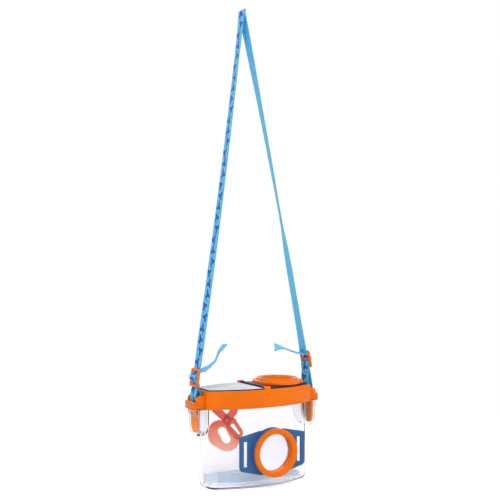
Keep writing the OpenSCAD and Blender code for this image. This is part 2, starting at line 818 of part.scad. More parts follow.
// Half a ball in flat steps, with its mouth at z = 0
module half_ball(radius) {
    rotate_extrude() polygon(concat([[0, 0]],
        [for (a = [0 : ball_step : 90 - ball_step]) radius * [cos(a), sin(a)]],
        [[0, radius * cos(ball_step)]]));
}

// Places a scoop, which opens towards the other jaw; side is 1 for the rear half's
module on_jaw(angle, side) {
    rotate(angle) translate([scoop_reach, 0, 0]) rotate([-90 * side, 0, 0]) children();
}

module scoop_hollow(angle, side) {
    on_jaw(angle, side) {
        half_ball(scoop_r - scoop_wall);
        translate([0, 0, -scoop_r]) cylinder(h = scoop_r + run_gap, r = scoop_r - scoop_wall);
    }
}

module tongs_front_half() {
    color([0.9, 0.25, 0.15]) on_tongs() difference() {
        union() {
            translate([0, 0, tongs_gap / 2]) linear_extrude(tongs_t) difference() {
                union() {
                    difference() {
                        bar(front_loop[0], front_loop[1], 2 * loop_front_r);
                        translate(front_flat_at) rotate(-45) translate([-loop_front_r * 2, 0])
                            square([4 * loop_front_r, loop_front_r]);
                    }
                    bar(front_loop[0] / 2, [0, 0], neck_w);
                    bar([0, 0], front_neck, neck_w);
                    bar(front_neck, front_bend, neck_w * 0.8);
                    bar(front_bend, [spine_x, spine_low], neck_w * 0.8);
                    translate([spine_x - neck_w / 3, spine_low])
                        square([neck_w * 0.6, spine_top - spine_low]);
                }
                bar(front_hole[0], front_hole[1], 2 * hole_front_r);
                circle(tongs_pin_r + run_gap);
            }
            on_jaw(front_scoop_angle, -1) half_ball(scoop_r);
        }
        scoop_hollow(front_scoop_angle, -1);
    }
}

module tongs_rear_half() {
    color([0.9, 0.25, 0.15]) on_tongs() difference() {
        union() {
            translate([0, 0, -tongs_gap / 2 - tongs_t]) linear_extrude(tongs_t) difference() {
                union() {
                    bar(rear_loop[0], rear_loop[1], 2 * loop_rear_r);
                    bar(rear_loop[0] / 2, [0, 0], neck_w);
                    bar([0, 0], rear_neck, neck_w);
                    bar(rear_neck, [rear_neck[0] - neck_w, rear_neck[1] + neck_w * 1.1], neck_w * 0.8);
                }
                bar(rear_hole[0], rear_hole[1], 2 * hole_rear_r);
                circle(tongs_pin_r + run_gap);
            }
            on_jaw(rear_scoop_angle, 1) half_ball(scoop_r);
        }
        scoop_hollow(rear_scoop_angle, 1);
    }
}

module tongs_pin() {
    half = tongs_gap / 2 + tongs_t + run_gap;
    color("firebrick") on_tongs() {
        translate([0, 0, -half]) cylinder(h = 2 * half, r = tongs_pin_r);
        for (side = [-1, 1])
            translate([0, 0, side * (half + tongs_head_t / 2)])
                cylinder(h = tongs_head_t, r = tongs_head_r, center = true);
    }
}

module on_tweezers() {
    translate([-tweezer_left, tweezer_back, jar_floor + seat_gap]) rotate(tweezer_turn) children();
}

module tweezers_root() {
    color([0.6, 0.8, 0.92]) on_tweezers() linear_extrude(tweezer_h) {
        circle(tweezer_root_w / 2);
        translate([0, -tweezer_root_w / 2]) square([tweezer_root_len, tweezer_root_w]);
    }
}

// An arm's distance from the middle line, at a share of its length
function arm_y(share) = tweezer_root_y + (tweezer_tip_gap - tweezer_root_y) * share
    + (tweezer_bow - tweezer_root_y) * sin(180 * share);

module tweezers_arm(side) {
    start = tweezer_root_len + seat_gap;
    length = tweezer_reach - start;
    line = [for (i = [0 : arm_steps]) [start + length * i / arm_steps, arm_y(i / arm_steps)]];
    spread = [0, tweezer_arm_t / 2];
    rib_pitch = tweezer_reach * rib_pitch_share;
    on_tweezers() mirror([0, side < 0 ? 1 : 0, 0]) {
        intersection() {
            linear_extrude(tweezer_h)
                polygon(concat([for (p = line) p + spread],
                    [for (i = [arm_steps : -1 : 0]) line[i] - spread]));
            translate([0, rim_depth / 2, 0]) facing_front() linear_extrude(rim_depth) polygon([
                [0, 0], [start + length / 3, 0],
                [start + length, (tweezer_h - tweezer_tip_h) / 2],
                [start + length, (tweezer_h + tweezer_tip_h) / 2],
                [start + length / 3, tweezer_h], [0, tweezer_h]]);
        }
        for (i = [1 : grip_ribs])
            translate([start + i * rib_pitch, arm_y(i * rib_pitch / length), tweezer_h * rib_low_share])
                cube([tweezer_arm_t / 2, tweezer_arm_t, tweezer_h * (1 - 2 * rib_low_share)]);
    }
}

module tweezers_front_arm() { color([0.6, 0.8, 0.92]) tweezers_arm(-1); }
module tweezers_rear_arm() { color([0.6, 0.8, 0.92]) tweezers_arm(1); }

// A buckle's own frame: x points away from the object and z up along the strap
module on_buckle(side) {
    translate([side * buckle_x(side), 0, buckle_z(side)]) rotate([0, -side * lean(side), 0])
        rotate(buckle_yaw(side)) scale([side, 1, 1]) children();
}

module buckle(side) {
    slot_h = (buckle_h - buckle_mid) / 2 - buckle_bar;
    slot_w = strap_w + over;
    on_buckle(side) difference() {
        cube([buckle_t, buckle_w, buckle_h], center = true);
        for (row = [-1, 1])
            translate([0, 0, row * (buckle_mid + slot_h) / 2])
                cube([buckle_t + 2 * over, slot_w, slot_h], center = true);
    }
}

module buckle_left() { color("darkorange") buckle(-1); }
module buckle_right() { color("darkorange") buckle(1); }

function unit(v) = v / norm(v);
function flat_dir(angle) = [sin(angle), cos(angle), 0];

// Corners of a flat band along a path, four for each point; dirs point across the band
function band_points(path, dirs) = [
    for (i = [0 : len(path) - 1]) let (
        along = unit(path[min(i + 1, len(path) - 1)] - path[max(i - 1, 0)]),
        across = unit(dirs[i] - (dirs[i] * along) * along),
        through = cross(along, across),
        w = across * strap_w / 2,
        t = through * strap_t / 2)
    each [path[i] + w + t, path[i] - w + t, path[i] - w - t, path[i] + w - t]];

module band(path, dirs) {
    last = 4 * (len(path) - 1);
    polyhedron(band_points(path, dirs), concat(
        [[0, 1, 2], [0, 2, 3], [last, last + 2, last + 1], [last, last + 3, last + 2]],
        [for (i = [0 : len(path) - 2], j = [0 : 3]) let (a = 4 * i + j, b = 4 * i + (j + 1) % 4)
            each [[a, a + 4, b + 4], [a, b + 4, b]]]));
}

// A point of a buckle's own frame in the object's frame, out being away from the object
function from_buckle(side, out, up) = [
    side * (buckle_x(side) + out * cos(lean(side)) - up * sin(lean(side))), 0,
    buckle_z(side) + up * cos(lean(side)) + out * sin(lean(side))];

// The webbing's way through a buckle, from its middle bar up or down
function through_buckle(side, layer, way) = [
    for (k = weave) from_buckle(side, k[0] > 0 ? weave_out + (1 - layer) * layer_step
        : -weave_out - layer * layer_step, way * k[1])];

function leg_path(side) =
    let (low = from_buckle(side, -weave_out, buckle_h / 2 + strap_t),
        high = [-strap_top_left + side * strap_t / 2, 0, strap_top - fold_h])
    concat(through_buckle(side, 0, 1),
        [for (i = [0 : leg_steps]) let (share = i / leg_steps)
            low + (high - low) * share + [leg_bow * sin(180 * share), 0, 0]],
        [high + [0, 0, fold_h]]);

function leg_turn(side, share) = lookup(share, side < 0 ? left_turn_shares : right_turn_shares);

module strap_leg(side) {
    path = leg_path(side);
    height = strap_top - buckle_z(side);
    band(path, [for (p = path) flat_dir(leg_turn(side, (p[2] - buckle_z(side)) / height))]);
}

// Down from the buckle's middle bar, round the pin, back up and out as the loose tail
function end_path(side, tail) = concat(
    through_buckle(side, 0, -1),
    [[side * (pin_x + loop_spread), 0, pin_z + loop_spread * 3]],
    [for (a = [0 : -30 : -180]) [side * (pin_x + loop_r * cos(a)), 0, pin_z + loop_r * sin(a)]],
    [[side * (pin_x - loop_spread), 0, pin_z + loop_spread * 3]],
    [for (k = [len(weave) - 1 : -1 : 0]) through_buckle(side, 1, -1)[k]],
    [through_buckle(side, 1, 1)[1], through_buckle(side, 1, 1)[2]],
    tail);

module strap_end(side, tail, tail_dirs) {
    path = end_path(side, tail);
    band(path, concat([for (i = [1 : len(path) - len(tail)]) [0, 1, 0]], tail_dirs));
}

module strap_left_leg() { color([0.35, 0.65, 0.88]) strap_leg(-1); }
module strap_right_leg() { color([0.35, 0.65, 0.88]) strap_leg(1); }
module strap_left_end() { color([0.25, 0.5, 0.8]) strap_end(-1, from_end(-1, left_tail), left_tail_dirs); }
module strap_right_end() { color([0.25, 0.5, 0.8]) strap_end(1, from_end(1, right_tail), right_tail_dirs); }

jar();
rim_band();
lid_tray();
vent_net();
hinge_rod();
flap();
lid_ring();
lid_lens();
lid_lens_retainer();
loupe_holder();
front_ring();
front_lens();
front_lens_retainer();
latch_left();
latch_right();
strap_pin_left();
strap_pin_right();
strap_left_leg();
strap_left_end();
strap_right_leg();
strap_right_end();
buckle_left();
buckle_right();
tongs_front_half();
tongs_rear_half();
tongs_pin();
tweezers_root();
tweezers_front_arm();
tweezers_rear_arm();
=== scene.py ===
"""Dresses a child's bug catcher jar: a clear oval container with an orange latched lid, two magnifiers,
tongs, tweezers and a webbing strap."""
import json
import math

import bmesh
import bpy
from bmesh.types import BMEdge, BMVert
from mathutils import Matrix, Vector


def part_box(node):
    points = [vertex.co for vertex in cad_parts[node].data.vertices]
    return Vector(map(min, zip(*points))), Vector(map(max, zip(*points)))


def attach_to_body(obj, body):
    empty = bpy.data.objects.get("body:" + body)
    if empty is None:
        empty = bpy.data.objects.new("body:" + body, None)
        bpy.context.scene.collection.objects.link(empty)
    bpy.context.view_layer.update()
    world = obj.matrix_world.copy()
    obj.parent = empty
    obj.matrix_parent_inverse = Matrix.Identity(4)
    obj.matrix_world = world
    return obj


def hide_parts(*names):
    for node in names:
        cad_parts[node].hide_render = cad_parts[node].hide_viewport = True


bl_info = {
    "name": "Bug catcher jar",
    "version": (1, 0, 0),
    "blender": (4, 5, 0),
    "location": "View3D > Sidebar > Bug jar",
    "description": "Builds the jar's pieces with their finishes around its fixed frame",
    "category": "Object",
}

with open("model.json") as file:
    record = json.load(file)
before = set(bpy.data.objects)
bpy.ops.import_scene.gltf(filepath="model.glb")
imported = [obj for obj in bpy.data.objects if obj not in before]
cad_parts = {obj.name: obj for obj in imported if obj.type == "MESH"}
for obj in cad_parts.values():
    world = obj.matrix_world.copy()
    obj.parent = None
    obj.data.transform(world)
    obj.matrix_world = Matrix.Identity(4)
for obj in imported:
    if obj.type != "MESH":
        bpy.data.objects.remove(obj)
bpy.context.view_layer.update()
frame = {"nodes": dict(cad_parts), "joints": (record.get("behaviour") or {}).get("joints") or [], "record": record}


# Sizes read from the frame
def low_of(node):
    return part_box(node)[0]


def high_of(node):
    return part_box(node)[1]


def middle_of(node):
    low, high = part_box(node)
    return (low + high) / 2


def spread(node, axis):
    """Half a node's size along an axis."""
    low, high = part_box(node)
    return (high[axis] - low[axis]) / 2


def joint_place(name):
    return Vector(next(j["pos_m"] for j in frame["joints"] if j["name"] == name))


# Sizes and colours that a user would change
def length(name, default, text):
    return bpy.props.FloatProperty(name=name, default=default, unit="LENGTH", subtype="DISTANCE", description=text)


def colour(name, default, text):
    return bpy.props.StringProperty(name=name, default=default, description=text)


def angle(name, degrees, text):
    return bpy.props.FloatProperty(name=name, default=math.radians(degrees), subtype="ANGLE", description=text)


class LidSizes(bpy.types.PropertyGroup):
    rim_length: length("Rim length", 0.140, "Length of the rim's plan between its flat ends")
    rim_depth: length("Rim depth", 0.070, "Depth of the rim's plan at its middle")
    rim_bulge: length("Rim bulge", 0.018, "How far each long side bows out from its ends")
    rim_corner: length("Rim corner", 0.004, "Radius of the rim's corners")
    rim_wall: length("Rim wall", 0.0024, "Thickness of the rim's wall")
    net_pitch: length("Net pitch", 0.0021, "Distance between two threads of the net")
    net_thread: length("Net thread", 0.0009, "Width of a thread")
    rim_colour: colour("Rim colour", "E86E00", "Colour of the rim, rings and buckles")
    # painted light: the latch tongues take a lighter copy of the rim's orange, standing in for the light that shows
    # through the thin tongues
    latch_painted_light_colour: colour("Latch colour", "F98C30", "Colour of the thin latch tongues")
    tray_colour: colour("Tray colour", "202E4C", "Colour of the tray and the flap")
    net_colour: colour("Net colour", "E4E6EA", "Colour of the net")


class ContainerSizes(bpy.types.PropertyGroup):
    inset: length("Inset", 0.0034, "How far the container's wall stands inside the rim")
    wall: length("Wall", 0.0024, "Thickness of the wall")
    floor: length("Floor", 0.003, "Thickness of the floor")
    corner: length("Corner", 0.019, "Radius of the plan's corners at the rim line")
    foot: length("Foot", 0.005, "Radius of the lower edge")
    draft: length("Draft", 0.0008, "How much the foot is drawn in below the mouth")
    spigot_radius: length("Spigot radius", 0.024, "Radius of the collar on the front wall")
    spigot_wall: length("Spigot wall", 0.0018, "Thickness of that collar")
    spigot_length: length("Spigot length", 0.0022, "How far it stands out from the front wall")
    tint: colour("Tint", "F3F2F5", "Colour that the clear plastic takes")


class MagnifierSizes(bpy.types.PropertyGroup):
    holder_colour: colour("Holder colour", "376093", "Colour of the front holder")
    lens_colour: colour("Lens colour", "FCFDFF", "Colour of the lenses")


class StrapSizes(bpy.types.PropertyGroup):
    width: length("Width", 0.015, "Width of the webbing")
    thickness: length("Thickness", 0.001, "Thickness of the webbing")
    repeat: length("Repeat", 0.013, "Length of one repeat of the print")
    ground: colour("Ground", "5FC3EC", "Colour of the plain side and of the print's ground")
    motif: colour("Motif", "2358B8", "Colour of the print's motifs")


class ToolColours(bpy.types.PropertyGroup):
    tongs_colour: colour("Tongs colour", "FF5B39", "Colour of the translucent tongs at their pivot")
    loop_colour: colour("Loop colour", "F2BD9D", "Colour of the tongs at the lower loop")
    tweezers_colour: colour("Tweezers colour", "E6F4FC", "Colour of the translucent tweezers")
    steel_colour: colour("Steel colour", "C4C6CA", "Colour of the flap's hinge rod")


class StageSettings(bpy.types.PropertyGroup):
    lens: bpy.props.FloatProperty(name="Lens", default=59.88, description="Focal length in mm at a 36 mm sensor")
    heading: angle("Heading", 28.73, "Heading of the camera, turned right from +Y")
    tilt: angle("Tilt", 1.67, "How far the camera looks up")
    world: bpy.props.FloatProperty(name="World", default=0.62, description="Strength of the even light")
    key: bpy.props.FloatProperty(name="Key", default=9.0, description="Power of the main lamp in W")
    fill: bpy.props.FloatProperty(name="Fill", default=4.0, description="Power of the other two lamps in W")


GROUPS = {
    "jar_lid": LidSizes,
    "jar_container": ContainerSizes,
    "jar_magnifiers": MagnifierSizes,
    "jar_strap": StrapSizes,
    "jar_tools": ToolColours,
    "jar_stage": StageSettings,
}


def sizes(name):
    return getattr(bpy.context.scene, name)


# Colours and nodes
WHITE = (1, 1, 1, 1)
WAVE_UNIT = 0.314  # Scale of the wave texture that gives bands 1 m apart


def linear(hex_text):
    """An sRGB hex value as linear RGBA."""
    parts = [int(hex_text[i : i + 2], 16) / 255 for i in (0, 2, 4)]
    return [c / 12.92 if c <= 0.04045 else ((c + 0.055) / 1.055) ** 2.4 for c in parts] + [1.0]


def shaded(hex_text, factor):
    """The same colour, darker or lighter."""
    return [min(1.0, c * factor) for c in linear(hex_text)[:3]] + [1.0]


def add(tree, kind, inputs=None, stops=(), **settings):
    """Adds a node with its settings, a ramp's stops, and its values and links. A node that is given as a value
    stands for its first output."""
    made = tree.nodes.new("ShaderNode" + kind)
    for key, value in settings.items():
        setattr(made, key, value)
    for element, (place, tone) in zip(made.color_ramp.elements if stops else (), stops):
        element.position, element.color = place, tone
    for key, value in (inputs or {}).items():
        if isinstance(value, bpy.types.Node):
            value = value.outputs[0]
        if isinstance(value, bpy.types.NodeSocket):
            tree.links.new(value, made.inputs[key])
        else:
            made.inputs[key].default_value = value
    return made


def finish(draw):
    """Makes a material of a function that draws nodes and returns a shader; one that exists stays as it is."""
    def made(name, *values, **options):
        material = bpy.data.materials.get(name)
        if material is None:
            material = bpy.data.materials.new(name)
            material.use_nodes = True
            tree = material.node_tree
            tree.nodes.clear()
            add(tree, "OutputMaterial", {"Surface": draw(tree, *values, **options)})
        return material
    return made


def lit_through(tree, shader, tint):
    """The shader, but the lamps' light passes with a tint, so what it holds stays lit."""
    passing = add(tree, "BsdfTransparent", {"Color": tint})
    return add(tree, "MixShader", {0: add(tree, "LightPath").outputs["Is Shadow Ray"], 1: shader, 2: passing})


def seen_by(tree, ray, *others):
    """1 for the named kinds of ray, else 0."""
    path = add(tree, "LightPath")
    seen = path.outputs[others[-1]]
    for other in (*reversed(others[:-1]), ray):
        seen = add(tree, "Math", {0: path.outputs[other], 1: seen}, operation="MAXIMUM")
    return seen


@finish
def moulded_plastic(tree, hex_text, rough, grain=0.25):
    """Injection-moulded ABS: an even colour with faint flow clouds about 22 mm wide, a polished mould's soft
    gloss with a grain of about 1 mm, and the slight unevenness of a wall that shrank as it cooled."""
    place = add(tree, "TexCoord").outputs["Object"]
    flow = add(tree, "TexNoise", {"Vector": place, "Scale": 45, "Detail": 3.0})
    speck = add(tree, "TexNoise", {"Vector": place, "Scale": 900, "Detail": 2.0})
    wave = add(tree, "TexNoise", {"Vector": place, "Scale": 110, "Detail": 1.0})
    tone = add(tree, "ValToRGB", {"Fac": flow}, [(0.3, shaded(hex_text, 0.93)), (0.7, shaded(hex_text, 1.06))])
    gloss = add(tree, "MapRange", {"Value": flow, "From Min": 0.3, "From Max": 0.7,
                                   "To Min": rough - 0.05, "To Max": rough + 0.06})
    fine = add(tree, "Bump", {"Height": speck, "Strength": grain, "Distance": 0.00003})
    bump = add(tree, "Bump", {"Height": wave, "Strength": 0.25, "Distance": 0.0002, "Normal": fine})
    return add(tree, "BsdfPrincipled", {"Base Color": tone, "Roughness": gloss, "Normal": bump, "IOR": 1.5,
                                        "Specular IOR Level": 0.14})


@finish
def clear_plastic(tree, hex_text, ior=1.27, rough=0.02, wave_depth=0.00008):
    """Clear moulded polystyrene or acrylic: polished walls with faint flow waves about 17 mm wide. A low ior
    keeps thin walls pale at their edges."""
    place = add(tree, "TexCoord").outputs["Object"]
    wave = add(tree, "TexNoise", {"Vector": place, "Scale": 60, "Detail": 1.0})
    bump = add(tree, "Bump", {"Height": wave, "Strength": 0.3, "Distance": wave_depth})
    glass = add(tree, "BsdfPrincipled", {"Base Color": linear(hex_text), "Roughness": rough, "Normal": bump,
                                         "IOR": ior, "Transmission Weight": 1.0})
    return lit_through(tree, glass, linear(hex_text))


@finish
def translucent_plastic(tree, hex_text, low_hex, low, high, rough):
    """Dyed translucent polypropylene, moulded: it lets a soft image through and deepens where two walls overlap.
    The colour runs from one tone at the height low to the other at the height high, in clouds about 14 mm wide."""
    place = add(tree, "TexCoord").outputs["Object"]
    flow = add(tree, "TexNoise", {"Vector": place, "Scale": 70, "Detail": 2.0})
    height = add(tree, "SeparateXYZ", {"Vector": place}).outputs["Z"]
    share = add(tree, "MapRange", {"Value": height, "From Min": low, "From Max": high})
    cloud = add(tree, "Math", {0: flow, 1: 0.2, 2: -0.1}, operation="MULTIPLY_ADD")
    clouded = add(tree, "Math", {0: share, 1: cloud}, operation="ADD")
    tone = add(tree, "ValToRGB", {"Fac": clouded}, [(0.0, linear(low_hex)), (1.0, linear(hex_text))])
    bump = add(tree, "Bump", {"Height": flow, "Strength": 0.25, "Distance": 0.0002})
    body = add(tree, "BsdfPrincipled", {"Base Color": tone, "Roughness": rough, "Normal": bump, "IOR": 1.45,
                                        "Transmission Weight": 0.75})
    return lit_through(tree, body, linear(low_hex))


@finish
def drawn_steel(tree, hex_text):
    """Zinc-plated steel wire: bright, with fine lines about 0.4 mm apart along the draw."""
    place = add(tree, "TexCoord").outputs["Object"]
    drawn = add(tree, "Mapping", {"Vector": place, "Scale": (1.0, 0.03, 1.0)})
    lines = add(tree, "TexNoise", {"Vector": drawn, "Scale": 2500, "Detail": 2.0})
    gloss = add(tree, "MapRange", {"Value": lines, "To Min": 0.22, "To Max": 0.42})
    bump = add(tree, "Bump", {"Height": lines, "Strength": 0.3, "Distance": 0.00002})
    return add(tree, "BsdfPrincipled", {"Base Color": linear(hex_text), "Metallic": 1.0, "Roughness": gloss,
                                        "Normal": bump})


@finish
def woven_webbing(tree, ground, motif, repeat, printed):
    """Polyester webbing, woven in fine ribs with firm edges; its colour is darkened along both edges and in the grooves
    of the weave as painted shade.
    One side is printed with three-lobed leaves and dots, and the other is plain. The ribs are drawn 1.2 mm apart, which
    is coarser than the real weave."""
    uv = add(tree, "UVMap", uv_map="webbing").outputs["UV"]
    split = add(tree, "SeparateXYZ", {"Vector": uv})
    along, across = split.outputs["X"], split.outputs["Y"]
    rib, cord = [add(tree, "TexWave", {"Vector": uv, "Scale": WAVE_UNIT / pitch}, bands_direction=way).outputs["Fac"]
                 for way, pitch in (("X", 0.0012), ("Y", 0.0015))]
    weave = add(tree, "Math", {0: rib, 1: cord}, operation="MULTIPLY")
    yarn = add(tree, "TexNoise", {"Vector": uv, "Scale": 900, "Detail": 2.0})
    edge = add(tree, "Math", {0: across}, operation="ABSOLUTE")
    # painted shade: the colour darkens towards both edges of each face, standing in for the shade at the webbing's
    # edges
    painted_edge_shade = add(tree, "MapRange", {"Value": edge, "From Min": 0.0064, "From Max": 0.0072, "To Min": 1.0, "To Max": 0.78})
    tone = add(tree, "ValToRGB", {"Fac": yarn}, [(0.3, shaded(ground, 0.9)), (0.7, shaded(ground, 1.1))])
    if printed:
        tone = leaf_print(tree, uv, along, across, tone, motif, repeat)
    # painted shade and light: the colour darkens in the weave's grooves and lightens on its ribs, as the relief would
    # be shaded
    shade = add(tree, "MapRange", {"Value": weave, "To Min": 0.86, "To Max": 1.06})
    # the painted shade of the weave and of the edges together
    depth = add(tree, "Math", {0: shade, 1: painted_edge_shade}, operation="MULTIPLY")
    tone_with_painted_shade = add(tree, "VectorMath", {0: tone, "Scale": depth}, operation="SCALE")
    bump = add(tree, "Bump", {"Height": weave, "Strength": 0.6, "Distance": 0.0002})
    return add(tree, "BsdfPrincipled", {
        "Base Color": tone_with_painted_shade, "Roughness": 0.72, "Normal": bump,
        "Sheen Weight": 0.1, "Sheen Roughness": 0.4, "Specular IOR Level": 0.3})


def leaf_print(tree, uv, along, across, tone, motif, repeat):
    """Leaves of three lobes and loose dots, one of each to a repeat."""
    made = {"along": along, "across": across,
            "blur": add(tree, "TexNoise", {"Vector": uv, "Scale": 260, "Detail": 1.0})}
    for name, operation, *parts in (
            ("row", "DIVIDE", "along", repeat), ("turn", "FLOOR", "row"),
            # place along and across from a leaf's middle, which sways from side to side
            ("row part", "FRACT", "row"), ("from middle", "SUBTRACT", "row part", 0.5),
            ("x", "MULTIPLY", "from middle", repeat), ("sway turn", "MULTIPLY", "turn", 2.3),
            ("sway", "SINE", "sway turn"), ("side", "MULTIPLY", "sway", 0.0022), ("y", "SUBTRACT", "across", "side"),
            ("x squared", "MULTIPLY", "x", "x"), ("y squared", "MULTIPLY", "y", "y"),
            ("leaf squared", "ADD", "x squared", "y squared"), ("radius", "SQRT", "leaf squared"),
            # three lobes round it, turned a little from leaf to leaf
            ("bearing", "ARCTAN2", "y", "x"), ("thrice", "MULTIPLY", "bearing", 3.0),
            ("lean", "MULTIPLY", "turn", 1.7), ("lobe turn", "ADD", "thrice", "lean"), ("lobes", "COSINE", "lobe turn"),
            ("limit", "MULTIPLY_ADD", "lobes", 0.0017, 0.0043), ("soft", "MULTIPLY_ADD", "blur", 0.0012, -0.0006),
            ("soft radius", "ADD", "radius", "soft"), ("past leaf", "SUBTRACT", "soft radius", "limit"),
            # dots half a repeat on, on the other side
            ("next row", "ADD", "row", 0.5), ("next part", "FRACT", "next row"),
            ("from next", "SUBTRACT", "next part", 0.5), ("dot x", "MULTIPLY", "from next", repeat),
            ("dot y", "ADD", "across", "side"), ("dot x squared", "MULTIPLY", "dot x", "dot x"),
            ("dot y squared", "MULTIPLY", "dot y", "dot y"), ("dot squared", "ADD", "dot x squared", "dot y squared"),
            ("dot radius", "SQRT", "dot squared"), ("past dot", "ADD", "dot radius", "soft")):
        inputs = {i: made.get(part, part) for i, part in enumerate(parts)}
        made[name] = add(tree, "Math", inputs, operation=operation)
    leaf, dot = [add(tree, "MapRange", {"Value": made[name], "From Min": full, "From Max": none, "To Min": ink,
                                        "To Max": 0.0})
                 for name, full, none, ink in (("past leaf", -0.0003, 0.0003, 1.0),
                                               ("past dot", 0.0013, 0.0018, 0.8))]
    share = add(tree, "Math", {0: leaf, 1: dot}, operation="MAXIMUM")
    return add(tree, "Mix", {"Factor": share, "A": tone, "B": linear(motif)}, data_type="RGBA").outputs[2]


@finish
def studio_sweep(tree):
    """A matt white sweep: it keeps soft shadows, and shows white where nothing shades it."""
    place = add(tree, "TexCoord").outputs["Object"]
    away = add(tree, "VectorMath", {0: place}, operation="LENGTH").outputs["Value"]
    far = add(tree, "MapRange", {"Value": away, "From Min": 0.16, "From Max": 0.5}, interpolation_type="SMOOTHSTEP")
    seen = seen_by(tree, "Is Camera Ray", "Is Transmission Ray")
    faint = add(tree, "Math", {0: seen, 1: 0.25}, operation="MULTIPLY")
    sheet = add(tree, "BsdfDiffuse", {"Color": (0.93, 0.93, 0.94, 1)})
    glow = add(tree, "Emission", {"Color": WHITE, "Strength": faint})
    white = add(tree, "Emission", {"Color": WHITE, "Strength": 1.0})
    share = add(tree, "Math", {0: seen, 1: far}, operation="MULTIPLY")
    return add(tree, "MixShader", {0: share, 1: add(tree, "AddShader", {0: sheet, 1: glow}), 2: white})


def orange():
    return moulded_plastic("orange moulded ABS", sizes("jar_lid").rim_colour, rough=0.26)


def navy():
    return moulded_plastic("navy moulded ABS", sizes("jar_lid").tray_colour, rough=0.34)


# Mesh tools
def only(made, kind):
    return [item for item in made if isinstance(item, kind)]


def line_to(bm, last, place):
    """One straight edge on from the last vertex."""
    new = bmesh.ops.extrude_vert_indiv(bm, verts=[last])["verts"][0]
    new.co = Vector(place)
    return new


def polyline(bm, points):
    """Straight edges through points, as their vertices."""
    verts = [bm.verts.new(points[0])]
    for point in points[1:]:
        verts.append(line_to(bm, verts[-1], point))
    return verts


def arc_to(bm, last, centre, axis, turn, steps):
    """An arc of edges on from the last vertex."""
    made = bmesh.ops.spin(bm, geom=[last], cent=centre, axis=axis, dvec=(0, 0, 0), angle=turn, steps=steps)
    return only(made["geom_last"], BMVert)[0]


def quarter(steps):
    """The angles of a quarter turn."""
    return [math.radians(90 * k / steps) for k in range(steps + 1)]


def rounded(points, radius, steps=3):
    """A closed outline with its corners rounded, as points."""
    out = []
    for i, corner in enumerate(points):
        corner = Vector(corner)
        back, on = (Vector(points[i - 1]) - corner), (Vector(points[(i + 1) % len(points)]) - corner)
        reach = min(radius, 0.45 * back.length, 0.45 * on.length)
        first, last = corner + back.normalized() * reach, corner + on.normalized() * reach
        for k in range(steps + 1):
            share = k / steps
            out.append(first.lerp(corner, share).lerp(corner.lerp(last, share), share))
    return out


def mark_edges(bm, limit=35):
    """Smooth faces with sharp edges between them."""
    for face in bm.faces:
        face.smooth = True
    for edge in bm.edges:
        edge.smooth = len(edge.link_faces) == 2 and edge.calc_face_angle(0) < math.radians(limit)


def link(name, mesh):
    thing = bpy.data.objects.new(name, mesh)
    bpy.context.scene.collection.objects.link(thing)
    return thing


def as_mesh(bm, name):
    mesh = bpy.data.meshes.new(name)
    bm.to_mesh(mesh)
    bm.free()
    return mesh


def as_object(bm, name, limit=35):
    """A finished object of what was drawn."""
    bmesh.ops.remove_doubles(bm, verts=bm.verts, dist=2e-6)
    bmesh.ops.recalc_face_normals(bm, faces=bm.faces)
    mark_edges(bm, limit)
    return link(name, as_mesh(bm, name))


def redraw(thing, draw, limit=35):
    """Lets draw change an object's mesh, and shades it again."""
    bm = bmesh.new()
    bm.from_mesh(thing.data)
    draw(bm)
    mark_edges(bm, limit)
    bm.to_mesh(thing.data)
    bm.free()


def settle(thing, limit=35):
    """Applies an object's modifiers."""
    bpy.context.view_layer.update()
    seen = thing.evaluated_get(bpy.context.evaluated_depsgraph_get())
    old, thing.data = thing.data, bpy.data.meshes.new_from_object(seen)
    thing.modifiers.clear()
    bpy.data.meshes.remove(old)
    redraw(thing, lambda bm: bmesh.ops.dissolve_degenerate(bm, edges=bm.edges, dist=1e-6), limit)
    return thing


def combine(thing, others, operation):
    """Joins other solids to this one, or cuts them from it."""
    for other in others:
        tool = thing.modifiers.new(operation.lower(), "BOOLEAN")
        tool.operation, tool.solver, tool.object, tool.use_self = operation, "EXACT", other, False
        settle(thing)
        data = other.data
        bpy.data.objects.remove(other)
        bpy.data.meshes.remove(data)
    return thing


def soften(thing, width, segments=2):
    """Rounds the sharp edges of a finished solid."""
    tool = thing.modifiers.new("rounded edges", "BEVEL")
    tool.width, tool.segments, tool.limit_method = width, segments, "ANGLE"
    tool.angle_limit, tool.use_clamp_overlap, tool.harden_normals = math.radians(40), True, False
    return settle(thing)


def round_edges(bm, width, segments=2, sharper=1.0, faces=None, keep=lambda edge: True):
    """Turns faces outward and rounds their edges that are sharper than an angle in radians."""
    faces = faces or bm.faces
    bmesh.ops.recalc_face_normals(bm, faces=faces)
    edges = [e for e in {e for f in faces for e in f.edges}
             if len(e.link_faces) == 2 and e.calc_face_angle(0) > sharper and keep(e)]
    bmesh.ops.bevel(bm, geom=edges, affect="EDGES", offset=width, segments=segments, profile=0.5, material=-1,
                    clamp_overlap=True)


def attach(thing, node, body):
    """Puts a finished piece in the place of its CAD node."""
    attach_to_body(thing, body)
    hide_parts(node)


def dress(thing, node, body, material):
    thing.data.materials.append(material)
    attach(thing, node, body)


def carry(node, material):
    """Gives a CAD node its finish."""
    thing = frame["nodes"][node]
    if not thing.material_slots:
        thing.data.materials.append(material)
    for place in thing.material_slots:
        place.material = material


def softened(node, material, width):
    """A merged copy of a CAD node with its edges rounded, as the mould leaves them."""
    body = next(b for b, nodes in frame["record"]["behaviour"]["bodies"].items() if node in nodes)
    bm = bmesh.new()
    bm.from_mesh(frame["nodes"][node].data)
    bmesh.ops.remove_doubles(bm, verts=bm.verts, dist=2e-6)
    bmesh.ops.dissolve_limit(bm, angle_limit=math.radians(1), verts=bm.verts, edges=bm.edges)
    dress(soften(as_object(bm, node + "_piece"), width, segments=3), node, body, material)


